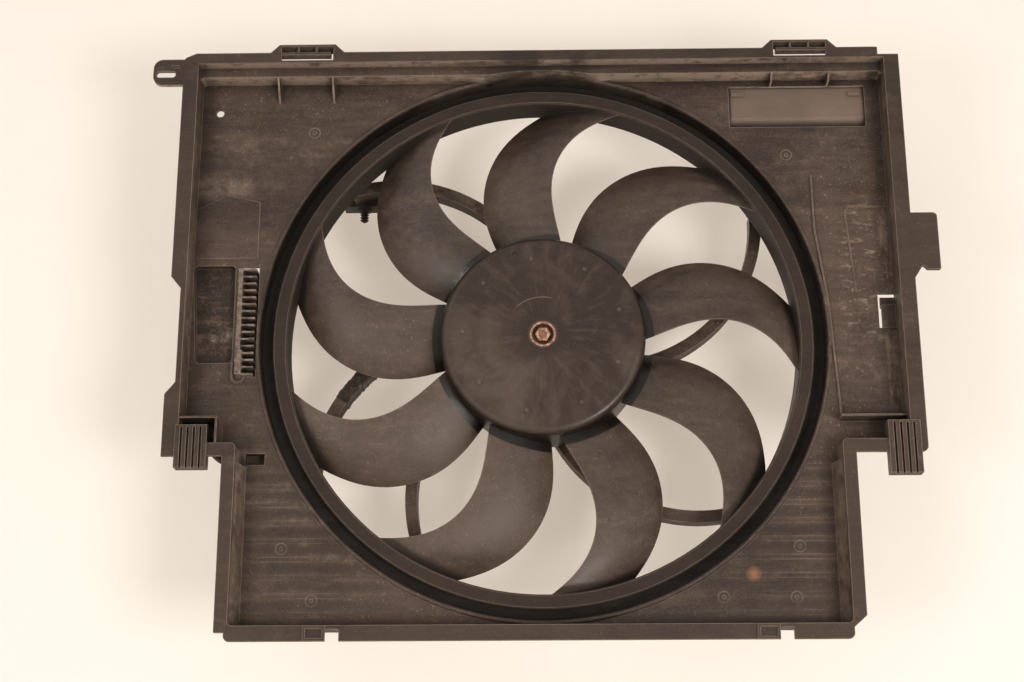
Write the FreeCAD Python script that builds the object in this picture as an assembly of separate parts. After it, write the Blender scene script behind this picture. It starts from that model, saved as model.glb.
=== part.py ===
import FreeCAD, Part

import math
import os

# Radiator fan shroud: the moulded shroud, the fan and its motor, the fan speed module and the ram air flap.
# The origin is on the fan axis, in the plane of the front rim that lies against the radiator.
# Seen from the radiator, +X is right and +Z is up. +Y points back to the engine. Angles of parts set round
# the fan run clockwise from +Z, seen from the radiator.

Vector = FreeCAD.Vector
FAN_AXIS = Vector(0, 1, 0)

# ---- Shroud plan: how far each edge of the front rim lies outside the aperture ----
UPPER_LEFT_MARGIN = 77.7
UPPER_RIGHT_MARGIN = 76.7
LOWER_LEFT_MARGIN = 24.7
LOWER_RIGHT_MARGIN = 14.7
TOP_MARGIN = 15.7
BOTTOM_MARGIN = 20.2
SHELF = 115.0

# ---- Shroud walls ----
WALL = 2.5
SIDE_FLANGE = 11.5
LOWER_FLANGE = 9.0
TOP_FLANGE = 8.0
BOTTOM_FLANGE = 11.0
SHELF_FLANGE = 9.5
PANEL_DEPTH = 27.0
TOP_STEP_DEPTH = 10.0
TOP_STEP_DROP = 9.5
WALL_CORNER = 4.0
RIM_CORNER = 5.0
CORNER_CUT = (11.0, 19.5)
CORNER_STEP = (19.0, 7.5)
SPLAY = 5.5
SPLAY_FRONT = 3.0
FLANGE_STEP = (8.5, 7.5)

# ---- Relief in the left edge of the rim ----
RELIEF_DEPTH = 9.0
RELIEF_TOP = 50.0
RELIEF_BOTTOM = -59.0
RELIEF_SLOPE = 11.0

# ---- Fan ----
RING_RADIUS = 244.0
RING_LIP = 12.8
RING_WALL = 2.5
RING_DEPTH = 32.0
FAN_SETBACK = 6.0
BLADES = 9
BLADE_THICK = 3.0
BLADE_SETBACK = 2.0
BLADE_DEPTH = 25.0
BLADE_CAMBER = 4.0
BLADE_STATIONS = 6
TRAILING_START = 15.0
TRAILING_SWEEP = 28.0
TRAILING_POWER = 2.3
LEADING_START = 43.8
LEADING_SWEEP = 48.0
LEADING_TURN = 0.41
HUB_RADIUS = 92.5
HUB_WALL = 3.0
HUB_ROUND = 7.0
HUB_PROUD = 12.0
HUB_DEPTH = 50.0
HUB_RIB = 1.8
HUB_RIB_DEPTH = 9.0
HUB_RIB_ANGLE = 20.0
BOSS_RADIUS = 15.0
BOSS_DEPTH = 22.0
NUT_RECESS_RADIUS = 11.8
NUT_RECESS_DEPTH = 6.5
PIP_CIRCLE = 72.0
PIP_ANGLE = -8.0
PIP_RADIUS = 1.9
PIP_HEIGHT = 0.8
BALANCE_HOLE_RADIUS = 2.75
BALANCE_HOLE_CIRCLE = 80.0
BALANCE_HOLE_ANGLE = -18.0

# ---- Aperture that the fan turns in ----
RING_GAP = 10.3
RECESS_DEPTH = 18.0
BARREL_GAP = 5.0
BARREL_BEAD = 2.3
BARREL_BEHIND_FAN = 15.0
BARREL_FLANGE = 6.0
BARREL_GUSSETS = 24
GUSSET_THICK = 1.8

# ---- Struts to the motor ----
WRAPPED_STRUT_ANGLE = 253.0
SUPPLY_STRUT_ANGLE = 324.5
STRUT_ANGLES = (69.7, 140.3, 215.5, WRAPPED_STRUT_ANGLE, SUPPLY_STRUT_ANGLE)
STRUT_WIDTH = 11.0
STRUT_DEPTH = 18.0
STRUT_SKIN = 2.2
STRUT_BEHIND_HUB = 4.0
STRUT_SWEEP = (-13.0, 11.5, 34.0)
STRUT_MID_RADIUS = 160.0
STRUT_FOOT_WIDTH = 18.0
STRUT_FOOT_LENGTH = 14.0
MOTOR_RING_RADIUS = 70.0
MOTOR_RING_RIM = 2.5
MOTOR_RING_THICK = 4.0
MOTOR_SCREWS = 3
MOTOR_SCREW_OUTSIDE_CAN = 11.0
MOTOR_SCREW_BOSS = 5.0
MOTOR_SCREW_BOSS_DEPTH = 7.0

# ---- Motor ----
SHAFT_RADIUS = 5.0
MOTOR_RADIUS = 50.0
MOTOR_WALL = 2.0
MOTOR_FRONT_GAP = 6.0
MOTOR_LENGTH = 60.0
MOTOR_RING_CLEARANCE = 3.5
LUG_WIDTH = 16.0
LUG_THICK = 2.5
LUG_REACH = 16.0
BEARING_RADIUS = 11.0
BEARING_LENGTH = 9.0
BEARING_HOUSING_WALL = 2.0
END_CAP_THICK = 3.0
MAGNETS = 4
MAGNET_THICK = 6.0
MAGNET_SPAN = 74.0
MAGNET_LENGTH = 40.0
AIR_GAP = 0.8
ARMATURE_SLOTS = 12
ARMATURE_LENGTH = 30.0
ARMATURE_TOOTH = 4.5
ARMATURE_TIP = 3.0
SLOT_MOUTH_ANGLE = 5.0
ARMATURE_CORE_RADIUS = 16.0
WINDING_OVERHANG = 5.0
COMMUTATOR_RADIUS = 13.0
COMMUTATOR_LENGTH = 11.5
COMMUTATOR_GROOVE = 0.8
COMMUTATOR_BARS = 12
BRUSH_PLATE_THICK = 3.0
BRUSH_WIDTH = 7.0
BRUSH_DEPTH = 6.0
BRUSH_LENGTH = 12.0
BRUSHES = 4
RUNNING_FIT = 0.04
SEAT = 0.05

# ---- Nut on the shaft's end ----
NUT_ACROSS_FLATS = 12.0
NUT_SINK = 0.6
CUP_WALL = 2.2
CUP_FLOOR = 1.6
CUP_PROUD = 0.6
STUD_RADIUS = 3.8
STUD_SINK = 0.6

# ---- Screws ----
SCREW_RADIUS = 2.4
SCREW_HEAD_RADIUS = 4.6
SCREW_HEAD_HEIGHT = 3.2
SCREW_CLEARANCE = 0.2

# ---- Ram air flap, in the upper right of the panel ----
FLAP_FROM_EDGE = 155.0
FLAP_WIDTH = 126.5
FLAP_BELOW_TOP = 27.0
FLAP_OPENING_HEIGHT = 41.0
FLAP_OVERLAP = 1.5
FLAP_END_GAP = 1.0
FLAP_THICK = 2.0
FLAP_LIP = 13.0
FLAP_LIP_LEAN = 35.0
FLAP_HINGE_RISE = 3.5
FLAP_CLAW = (12.0, 4.0)
FLAP_CLAW_PROUD = 1.5
FLAP_HINGE_BEHIND = 4.5
FLAP_KNUCKLE = 3.2
HINGE_ROD_RADIUS = 1.5
HINGE_EAR_THICK = 3.0

# ---- Fan speed module, on the back of the left side ----
MODULE_TOP = 66.0
MODULE_HEIGHT = 101.0
MODULE_SETBACK = 0.4
MODULE_DEPTH = 28.0
MODULE_WALL = 2.0
BOARD_THICK = 1.6
POCKET_DEPTH = 8.0
POCKET_MARGIN = 3.0
POCKET_TAPER = 6.0
SINK_OUTSIDE_APERTURE = 22.2
SINK_BASE = 4.5
SINK_FRONT = 24.0
SINK_FINS = 16
FIN_THICK = 2.2
FINS_OUTSIDE_APERTURE = 5.2
SINK_WINDOW_GAP = 1.5
SINK_FOOT = (6.5, 23.0)
SINK_FOOT_PROUD = 1.5
SINK_BOSS_RADIUS = 6.5
MODULE_EAR = 10.0
MODULE_SCREW_BEYOND = 8.5
SOCKET_WIDTH = 20.0
SOCKET_DEPTH = 16.0
SOCKET_LENGTH = 14.0
SOCKET_WALL = 1.6
PLUG_CLEARANCE = 0.3
PLUG_TAIL = 10.0

# ---- Window with the harness tongue, slot and hole in the panel ----
WINDOW_FROM_EDGE = 29.0
WINDOW_BOTTOM = 5.0
WINDOW_HEIGHT = 32.0
TONGUE_GAP = 2.2
TONGUE_HEIGHT = 19.5
TONGUE_HEAD = 7.5
TONGUE_STEP = 4.5
SLOT_FROM_EDGE = 16.0
SLOT_TOP = -107.0
SLOT_WIDTH = 17.0
SLOT_HEIGHT = 10.0
SLOT_DEPTH = 10.0
CLIP_HOLE_RADIUS = 3.6
CLIP_HOLE_FROM_EDGES = (31.0, 49.0)

# ---- Ear, hook, feet and snap bridges round the rim ----
EAR_REACH = 28.0
EAR_BELOW_TOP = 6.0
EAR_HEIGHT = 26.0
EAR_ROUND = 9.0
EAR_SLOT_WIDTH = 18.0
EAR_SLOT_HEIGHT = 6.4
EAR_SLOT_INSET = 2.8
EAR_SLOT_DROP = 11.8
EAR_SLOT_ROUND = 2.88
EAR_SLIT = (6.5, 1.8)
EAR_THICK = 4.0
HOOK_NOTCH = 4.0
HOOK_REACH = 23.5
HOOK_TOP = 105.0
HOOK_HEIGHT = 54.0
FOOT_WIDTH = 28.0
FOOT_INSET = 11.5
FOOT_TOP = -87.0
FOOT_FRONT = -1.5
LEFT_FOOT_DROP = 10.0
RIGHT_FOOT_DROP = 18.5
FOOT_THICK = 11.0
FOOT_GROOVES = 4
FOOT_GROOVE = 1.8
BRIDGE_CENTRES = (-217.0, 240.0)
BRIDGE_BASE = 74.0
BRIDGE_CROWN = 52.0
BRIDGE_RISE = 8.0
BRIDGE_DEPTH = 9.0
BRIDGE_SLOT = 48.0
BRIDGE_SLOT_HEIGHT = 5.0
NOTCH_LEFTS = (-185.0, 196.0)
NOTCH_WIDTH = 11.5
NOTCH_HEIGHT = 10.0
STOP_WIDTH = 19.0
STOP_HEIGHT = 13.0

# ---- Relief on the panel ----
RIDGE_WIDTH = 1.6
RIDGE_HEIGHT = 2.0
PAD_HEIGHT = 1.0
PAD_CORNER = 2.0
PAD_BOTTOM = 76.0
PAD_TOPS = (124.0, 138.0, 131.0)
PAD_PEAK_IN = 30.5
STEP_LINE = ((-6.3, 152.0), (-5.8, 99.0), (2.7, 32.0), (8.7, -80.0))
FRAME_LINE = ((2.5, 121.0), (38.5, 122.0), (42.5, 116.0), (36.5, 39.0))
HOUSING_GAP = 8.0

# ---- Ribs ----
RIB_THICK = 1.8
RIB_HEIGHT = 8.0
RIB_PITCH = 16.0
RIB_ROWS = 8
TOP_GUSSETS = (-246.0, -195.0, 214.0, 267.0)
TOP_GUSSET_DROP = 22.0

# ---- Leads: points of their routes, which each bend rounds off ----
LEAD_RADIUS = 3.5
LEAD_ABOVE_STRUT = 0.4
LEAD_BEND_SHARE = 0.45
LEAD_EXIT_ANGLE = 287.0
GROMMET_RADIUS = 7.0
GROMMET_LENGTH = 5.0
WRAP_THICK = 1.0
WRAP_SHARES = (0.36, 0.64)
LEAD_STRAIGHT = 32.0
LEAD_STRUT_SHARES = (0.79, 0.65, 0.51, 0.375)
# Turns of a lead past the barrel: how far outside it, how far round from the strut, how far in from the back.
MOTOR_LEAD_TURNS = ((-24.6, -1.5, 0.0), (10.1, -4.2, 2.0), (43.9, -5.0, 11.0), (70.4, -3.3, 27.0))
SUPPLY_LEAD_TURNS = ((93.0, -28.0, 31.0), (79.4, -23.3, 17.0), (54.8, -20.1, 4.0))
LEAD_RISE = 27.0
CONNECTOR_FROM_STRUT = (-9.4, -7.8)
CONNECTOR_SIZE = (44.0, 16.0, 12.0)
CONNECTOR_GAP = 0.3
CONNECTOR_MOUTH = 17.6
CLIP_FROM_END = 19.0
CLIP_FLANGE_RADIUS = 7.0
CLIP_BARB_RADIUS = 4.2
CLIP_BARB_LENGTH = 2.0
CLIP_STEM_RADIUS = 2.0
CLIP_BARBS = 4
CLIP_BARB_PITCH = 2.8

# ---- Places that follow from the sizes above ----
PANEL_BACK = PANEL_DEPTH + WALL
RING_FRONT = PANEL_DEPTH + FAN_SETBACK
RING_BACK = RING_FRONT + RING_DEPTH
RING_BORE = RING_RADIUS - RING_LIP
HUB_FRONT = RING_FRONT - HUB_PROUD
HUB_BACK = HUB_FRONT + HUB_DEPTH
NUT_SEAT = HUB_FRONT + NUT_RECESS_DEPTH
APERTURE = RING_RADIUS + RING_GAP
UPPER_LEFT = APERTURE + UPPER_LEFT_MARGIN
UPPER_RIGHT = APERTURE + UPPER_RIGHT_MARGIN
LOWER_LEFT = APERTURE + LOWER_LEFT_MARGIN
LOWER_RIGHT = APERTURE + LOWER_RIGHT_MARGIN
TOP = APERTURE + TOP_MARGIN
BOTTOM = APERTURE + BOTTOM_MARGIN
RECESS_BACK = PANEL_DEPTH + RECESS_DEPTH
BARREL = RING_BORE + RING_WALL + BARREL_GAP
BARREL_BACK = RING_BACK + BARREL_BEHIND_FAN
STRUT_FRONT = HUB_BACK + STRUT_BEHIND_HUB
STRUT_BACK = STRUT_FRONT + STRUT_DEPTH
BOSS_BACK = HUB_FRONT + BOSS_DEPTH
MOTOR_FRONT = BOSS_BACK + MOTOR_FRONT_GAP
MOTOR_BACK = MOTOR_FRONT + MOTOR_LENGTH
MOTOR_SCREW_CIRCLE = MOTOR_RADIUS + MOTOR_SCREW_OUTSIDE_CAN
RING_INNER = MOTOR_RADIUS + MOTOR_RING_CLEARANCE
LUG_FRONT = STRUT_FRONT + MOTOR_RING_THICK
LEFT_WALL = -(UPPER_LEFT - SIDE_FLANGE)
RIGHT_WALL = UPPER_RIGHT - SIDE_FLANGE
LOW_LEFT_WALL = -(LOWER_LEFT - LOWER_FLANGE)
LOW_RIGHT_WALL = LOWER_RIGHT - LOWER_FLANGE
SHELF_WALL = -(SHELF - SHELF_FLANGE)
FLOOR_WALL = -(BOTTOM - BOTTOM_FLANGE)
TOP_WALL = TOP - TOP_FLANGE
EAR_TOP = TOP - EAR_BELOW_TOP
STEP_WALL = TOP_WALL - TOP_STEP_DROP
FLAP_HINGE_Y = PANEL_BACK + FLAP_HINGE_BEHIND
FLAP_LEFT = UPPER_RIGHT - FLAP_FROM_EDGE
FLAP_OPENING_TOP = TOP - FLAP_BELOW_TOP
FLAP_HINGE_Z = FLAP_OPENING_TOP + FLAP_HINGE_RISE
MODULE_BOTTOM = MODULE_TOP - MODULE_HEIGHT
MODULE_FRONT = PANEL_DEPTH + POCKET_DEPTH + WALL + MODULE_SETBACK
MODULE_BACK = MODULE_FRONT + MODULE_DEPTH
WINDOW_LEFT = UPPER_RIGHT - WINDOW_FROM_EDGE
SINK_LEFT = APERTURE + SINK_OUTSIDE_APERTURE
SINK_FACE = -(SINK_LEFT - SINK_BASE)
LEAD_Y = STRUT_BACK + LEAD_RADIUS + LEAD_ABOVE_STRUT
CONNECTOR_FRONT = STRUT_BACK + CONNECTOR_GAP
OVER = 1.0


# ---- Small building steps ----

def at(x, z, y=0.0):
    return Vector(x, y, z)


def polar(radius, degrees):
    turn = math.radians(degrees)
    return (radius * math.sin(turn), radius * math.cos(turn))


def box(x, y, z):
    """Block between two limits along each axis."""
    return Part.makeBox(x[1] - x[0], y[1] - y[0], z[1] - z[0], Vector(x[0], y[0], z[0]))


def rod(radius, front, back, x=0.0, z=0.0):
    return Part.makeCylinder(radius, back - front, at(x, z, front), FAN_AXIS)


def tube(outer, inner, front, back, x=0.0, z=0.0):
    return rod(outer, front, back, x, z).cut(rod(inner, front - OVER, back + OVER, x, z))


def outline(points, radius=0.0):
    """Closed face through (x, z) points. A third value in a point is the radius of its own corner."""
    edges = []
    first = None
    last = None
    count = len(points)
    for index, point in enumerate(points):
        corner = at(point[0], point[1])
        before = at(*points[index - 1][:2]).sub(corner).normalize()
        after = at(*points[(index + 1) % count][:2]).sub(corner).normalize()
        bend = point[2] if len(point) > 2 else radius
        start, end = corner, corner
        if bend > 0:
            half = before.getAngle(after) / 2
            reach = bend / math.tan(half)
            middle = before.add(after).normalize()
            start = corner.add(Vector(before).multiply(reach))
            end = corner.add(Vector(after).multiply(reach))
            crown = corner.add(Vector(middle).multiply(bend / math.sin(half) - bend))
        if last is not None and last.distanceToPoint(start) > 1e-6:
            edges.append(Part.makeLine(last, start))
        if bend > 0:
            edges.append(Part.Arc(start, crown, end).toShape())
        first = first or start
        last = end
    if last.distanceToPoint(first) > 1e-6:
        edges.append(Part.makeLine(last, first))
    return Part.Face(Part.Wire(edges))


def thicken(face, front, back):
    """Plate from a face in the XZ plane, between two depths."""
    plate = face.extrude(Vector(0, back - front, 0))
    plate.translate(Vector(0, front, 0))
    return plate


def turned(points):
    """Solid of revolution about the fan axis, from (radius, depth) points."""
    profile = [Vector(radius, depth, 0) for radius, depth in points]
    face = Part.Face(Part.makePolygon(profile + profile[:1]))
    return face.revolve(Vector(0, 0, 0), FAN_AXIS, 360)


def spun(shape, degrees):
    copy = shape.copy()
    copy.rotate(Vector(0, 0, 0), FAN_AXIS, degrees)
    return copy


def ring_of(shape, count, start=0.0):
    return [spun(shape, start + index * 360.0 / count) for index in range(count)]


def fused(shapes):
    first, *others = shapes
    return first.fuse(others).removeSplitter() if others else first


def group(shapes):
    return Part.makeCompound(shapes)


def band(ends, middle, width):
    """Face of a bar of even width whose centre line is the arc through three (x, z) points."""
    start, crown, end = at(*ends[0]), at(*middle), at(*ends[1])
    centre = Part.Arc(start, crown, end).toShape().Curve.Center
    sides = []
    for shift in (-width / 2, width / 2):
        moved = []
        for point in (start, crown, end):
            away = point.sub(centre)
            moved.append(centre.add(away.multiply((away.Length + shift) / away.Length)))
        sides.append(moved)
    inner, outer = sides
    edges = [
        Part.Arc(*inner).toShape(),
        Part.makeLine(inner[2], outer[2]),
        Part.Arc(*reversed(outer)).toShape(),
        Part.makeLine(outer[0], inner[0]),
    ]
    return Part.Face(Part.Wire(edges))


# ---- Shroud moulding ----

def wall_plan(inset, top):
    """Plan of the tray's side walls, moved inwards by an inset."""
    left = LEFT_WALL + inset
    right = RIGHT_WALL - inset
    low_left = LOW_LEFT_WALL + inset
    low_right = LOW_RIGHT_WALL - inset
    shelf = SHELF_WALL + inset
    floor = FLOOR_WALL + inset
    return outline([
        (left, top - inset), (right, top - inset), (right, shelf), (low_right, shelf),
        (low_right, floor), (low_left, floor), (low_left, shelf), (left, shelf),
    ], WALL_CORNER)


def top_step(inset, back):
    """Block of the shallow step along the top, in front of the panel's own top wall."""
    return box(
        (LEFT_WALL + inset, RIGHT_WALL - inset),
        (-OVER if inset else 0.0, back),
        (STEP_WALL - TOP_GUSSET_DROP, TOP_WALL - inset),
    )


def tray_outside():
    return thicken(wall_plan(0.0, STEP_WALL), 0.0, PANEL_BACK).fuse(top_step(0.0, TOP_STEP_DEPTH + WALL))


def tray_inside():
    return thicken(wall_plan(WALL, STEP_WALL), -OVER, PANEL_DEPTH).fuse(top_step(WALL, TOP_STEP_DEPTH))


def rim_plan():
    """Outer edge of the front rim, with the relief at the left and the cut lower right corner."""
    relief = -UPPER_LEFT + RELIEF_DEPTH
    cut_x, cut_z = CORNER_CUT
    step_x, step_z = CORNER_STEP
    flange_x, flange_z = FLANGE_STEP
    return outline([
        (-UPPER_LEFT, TOP - RIM_CORNER), (LEFT_WALL, TOP, 0.0), (UPPER_RIGHT - step_x, TOP, 1.0),
        (UPPER_RIGHT - step_x, TOP - step_z, 0.0), (UPPER_RIGHT, TOP - step_z, 1.0), (UPPER_RIGHT, -SHELF),
        (LOWER_RIGHT, -SHELF, 0.0), (LOWER_RIGHT, -BOTTOM + cut_z, 0.0),
        (LOWER_RIGHT - cut_x, -BOTTOM + cut_z / 2, 0.0), (LOWER_RIGHT - cut_x, -BOTTOM),
        (-LOWER_LEFT + flange_x, -BOTTOM), (-LOWER_LEFT + flange_x, -BOTTOM + flange_z, 0.0),
        (-LOWER_LEFT, -BOTTOM + flange_z, 1.0),
        (-LOWER_LEFT, -SHELF, 0.0), (-UPPER_LEFT, -SHELF, 0.0),
        (-UPPER_LEFT, RELIEF_BOTTOM, 0.0), (relief, RELIEF_BOTTOM + RELIEF_SLOPE, 0.0),
        (relief, RELIEF_TOP - RELIEF_SLOPE, 0.0), (-UPPER_LEFT, RELIEF_TOP, 0.0),
    ], RIM_CORNER)


def barrel():
    """Stepped round wall: a wide recess round the fan's lip, then a narrower barrel round the fan's ring."""
    wide = APERTURE + WALL
    narrow = BARREL + WALL
    recess = tube(wide, APERTURE, PANEL_DEPTH, RECESS_BACK + WALL)
    step = tube(wide, BARREL, RECESS_BACK, RECESS_BACK + WALL)
    wall = tube(narrow, BARREL, RECESS_BACK, BARREL_BACK)
    flange = tube(narrow + BARREL_FLANGE, BARREL, BARREL_BACK - WALL, BARREL_BACK)
    bead = Part.makeTorus(APERTURE + BARREL_BEAD, BARREL_BEAD, at(0, 0, PANEL_DEPTH), FAN_AXIS)
    collar = tube(wide, APERTURE, TOP_STEP_DEPTH, PANEL_BACK)
    above = box((-APERTURE, APERTURE), (0, PANEL_BACK + OVER), (STEP_WALL - WALL, TOP_WALL))
    return [recess, step, wall, flange, bead, collar.common(above)]


def barrel_gussets():
    """Webs between the barrel's step and its back flange."""
    inner = BARREL + WALL / 2
    front = RECESS_BACK + WALL / 2
    corners = [
        Vector(0, front, inner), Vector(0, front, APERTURE),
        Vector(0, BARREL_BACK - WALL / 2, BARREL + WALL + BARREL_FLANGE),
        Vector(0, BARREL_BACK - WALL / 2, inner),
    ]
    web = Part.Face(Part.makePolygon(corners + corners[:1])).extrude(Vector(GUSSET_THICK, 0, 0))
    web.translate(Vector(-GUSSET_THICK / 2, 0, 0))
    return ring_of(web, BARREL_GUSSETS, 180.0 / BARREL_GUSSETS)


def strut_line(angle):
    """Outer end, middle and inner end of a strut's centre line."""
    outer, middle, inner = STRUT_SWEEP
    return (
        polar(BARREL + WALL, angle + outer),
        polar(STRUT_MID_RADIUS, angle + middle),
        polar(MOTOR_RING_RADIUS - MOTOR_RING_RIM, angle + inner),
    )


def strut(angle):
    """Curved channel, open at the back, with a foot on the barrel."""
    outer, middle, inner = strut_line(angle)
    bar = thicken(band((outer, inner), middle, STRUT_WIDTH), STRUT_FRONT, STRUT_BACK)
    groove = band((outer, inner), middle, STRUT_WIDTH - 2 * STRUT_SKIN)
    foot = box(
        (-STRUT_FOOT_WIDTH / 2, STRUT_FOOT_WIDTH / 2),
        (BARREL_BACK - STRUT_FOOT_LENGTH, STRUT_BACK),
        (BARREL + WALL / 2, BARREL + WALL + BARREL_FLANGE),
    )
    channel = bar.cut(thicken(groove, STRUT_FRONT + STRUT_SKIN, STRUT_BACK + OVER))
    return channel.fuse(spun(foot, angle + STRUT_SWEEP[0]))


def motor_ring():
    """Plate and rim that the struts meet, with a boss for each motor screw."""
    plate = tube(MOTOR_RING_RADIUS, RING_INNER, STRUT_FRONT, LUG_FRONT)
    rim = tube(MOTOR_RING_RADIUS, MOTOR_RING_RADIUS - MOTOR_RING_RIM, STRUT_FRONT, STRUT_BACK)
    boss = rod(MOTOR_SCREW_BOSS, STRUT_FRONT - MOTOR_SCREW_BOSS_DEPTH, LUG_FRONT, 0, MOTOR_SCREW_CIRCLE)
    hole = rod(SCREW_RADIUS, 0, STRUT_BACK, 0, MOTOR_SCREW_CIRCLE)
    body = fused([plate, rim] + ring_of(boss, MOTOR_SCREWS))
    return body.cut(ring_of(hole, MOTOR_SCREWS))


def motor_carrier():
    inside = rod(MOTOR_RING_RADIUS - MOTOR_RING_RIM, STRUT_FRONT - OVER, STRUT_BACK + OVER)
    struts = [strut(angle).cut(inside) for angle in STRUT_ANGLES]
    return struts + [motor_ring()]


def lower_ribs():
    """Level ribs across the back of the panel below the shelf."""
    bottom = FLOOR_WALL + RIB_PITCH / 2
    ribs = [
        box(
            (LOW_LEFT_WALL + WALL, LOW_RIGHT_WALL - WALL),
            (PANEL_DEPTH, PANEL_BACK + RIB_HEIGHT),
            (bottom + row * RIB_PITCH, bottom + row * RIB_PITCH + RIB_THICK),
        )
        for row in range(RIB_ROWS)
    ]
    return [rib.cut(rod(APERTURE + WALL / 2, 0, BARREL_BACK)) for rib in ribs]


def top_gussets():
    """Thin webs between the top step and the panel."""
    webs = []
    for x in TOP_GUSSETS:
        corners = [
            Vector(x, TOP_STEP_DEPTH, TOP_WALL - WALL),
            Vector(x, PANEL_BACK, STEP_WALL),
            Vector(x, PANEL_BACK, STEP_WALL - TOP_GUSSET_DROP),
            Vector(x, PANEL_DEPTH - OVER, STEP_WALL - TOP_GUSSET_DROP),
            Vector(x, TOP_STEP_DEPTH, STEP_WALL - WALL),
        ]
        webs.append(Part.Face(Part.makePolygon(corners + corners[:1])).extrude(Vector(RIB_THICK, 0, 0)))
    return webs


def ear():
    """Slotted ear at the top left."""
    left = -UPPER_LEFT - EAR_REACH
    bottom = EAR_TOP - EAR_HEIGHT
    plate = thicken(outline([
        (left, EAR_TOP, EAR_ROUND), (LEFT_WALL, EAR_TOP, 0.0),
        (LEFT_WALL, bottom, 0.0), (left, bottom, EAR_ROUND),
    ]), 0.0, EAR_THICK)
    slot_left = left + EAR_SLOT_INSET
    slot_top = EAR_TOP - EAR_SLOT_DROP
    slot = thicken(outline([
        (slot_left, slot_top), (slot_left + EAR_SLOT_WIDTH, slot_top),
        (slot_left + EAR_SLOT_WIDTH, slot_top - EAR_SLOT_HEIGHT), (slot_left, slot_top - EAR_SLOT_HEIGHT),
    ], EAR_SLOT_ROUND), -OVER, EAR_THICK + OVER)
    slit_left = slot_left + EAR_SLOT_WIDTH - EAR_SLIT[0] / 2
    slit = box((slit_left, slit_left + EAR_SLIT[0]), (-OVER, EAR_THICK + OVER),
               (slot_top + 2 * EAR_SLIT[1], slot_top + 3 * EAR_SLIT[1]))
    return plate.cut([slot, slit])


def hook():
    """Side tab with a downward hook, on the right edge."""
    right = UPPER_RIGHT + HOOK_REACH
    bottom = HOOK_TOP - HOOK_HEIGHT
    mouth = UPPER_RIGHT + HOOK_REACH / 2
    root = bottom - 2 * HOOK_NOTCH
    return thicken(outline([
        (RIGHT_WALL, HOOK_TOP, 0.0), (right, HOOK_TOP, EAR_THICK), (right, bottom, 1.0), (mouth, bottom, 1.0),
        (mouth - HOOK_NOTCH, bottom + HOOK_NOTCH, 1.0), (UPPER_RIGHT, root, 0.0), (RIGHT_WALL, root, 0.0),
    ]), 0.0, EAR_THICK)


def foot_ends(drop):
    return -SHELF - drop, FOOT_TOP


def foot(left, drop):
    """Foot that slides down into the radiator's bracket."""
    return box((left, left + FOOT_WIDTH), (FOOT_FRONT, FOOT_THICK), foot_ends(drop))


def foot_grooves(left, drop):
    """Grooves down the whole front of a foot."""
    bottom, top = foot_ends(drop)
    pitch = FOOT_WIDTH / (FOOT_GROOVES + 1)
    middles = [left + (index + 1) * pitch for index in range(FOOT_GROOVES)]
    return [
        box((x - FOOT_GROOVE / 2, x + FOOT_GROOVE / 2), (FOOT_FRONT - OVER, FOOT_FRONT + 2 * FOOT_GROOVE),
            (bottom - OVER, top - FOOT_GROOVE))
        for x in middles
    ]


def bridge(centre):
    """Raised snap bridge over a slot in the top flange, stiffened by small webs."""
    low = TOP - BRIDGE_SLOT_HEIGHT / 2
    high = TOP + BRIDGE_RISE
    body = thicken(outline([
        (centre - BRIDGE_BASE / 2, low), (centre - BRIDGE_CROWN / 2, high),
        (centre + BRIDGE_CROWN / 2, high), (centre + BRIDGE_BASE / 2, low),
    ]), 0.0, BRIDGE_DEPTH)
    bay = (BRIDGE_CROWN - 4 * RIB_THICK) / 3
    bays = [
        box(
            (centre - BRIDGE_CROWN / 2 + RIB_THICK + index * (bay + RIB_THICK),
             centre - BRIDGE_CROWN / 2 + (index + 1) * (bay + RIB_THICK)),
            (-OVER, BRIDGE_DEPTH - WALL),
            (low + RIB_THICK, high - RIB_THICK),
        )
        for index in range(3)
    ]
    return body.cut(bays)


def bridge_slots():
    """Slots under the bridges, each with a short leg on the side towards the fan."""
    cuts = []
    for centre in BRIDGE_CENTRES:
        low = TOP_WALL
        high = TOP - BRIDGE_SLOT_HEIGHT / 2
        through = (-OVER, BRIDGE_DEPTH + OVER)
        cuts.append(box((centre - BRIDGE_SLOT / 2, centre + BRIDGE_SLOT / 2), through, (low, high)))
        inner = centre + (BRIDGE_SLOT / 2 if centre < 0 else -BRIDGE_SLOT / 2)
        leg = (inner - WALL, inner) if centre < 0 else (inner, inner + WALL)
        cuts.append(box(leg, through, (low, high + BRIDGE_SLOT_HEIGHT)))
    return cuts


def bottom_stop(notch_left):
    """Raised pad beside each notch in the bottom lip."""
    pad = box((notch_left - STOP_WIDTH, notch_left), (FOOT_FRONT, WALL), (-BOTTOM, -BOTTOM + STOP_HEIGHT))
    dish = box((notch_left - STOP_WIDTH + WALL, notch_left - WALL), (FOOT_FRONT - OVER, OVER / 2),
               (-BOTTOM + WALL, -BOTTOM + STOP_HEIGHT - WALL))
    return pad.cut(dish)


def bottom_notches():
    return [
        box((left, left + NOTCH_WIDTH), (-2 * OVER, WALL + OVER), (-BOTTOM - OVER, -BOTTOM + NOTCH_HEIGHT))
        for left in NOTCH_LEFTS
    ]


def pocket_face(margin):
    """Plan of the pocket in front of the module, its left edge leaning in towards the bottom."""
    left = LEFT_WALL + WALL
    right = -SINK_LEFT - MODULE_SETBACK - WALL
    top = MODULE_TOP + POCKET_MARGIN
    bottom = MODULE_BOTTOM + 4 * POCKET_MARGIN
    return outline([
        (left - margin, top + margin), (right + margin, top + margin),
        (right + margin, bottom - margin), (left + POCKET_TAPER - margin, bottom - margin),
    ], WALL_CORNER)


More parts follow.
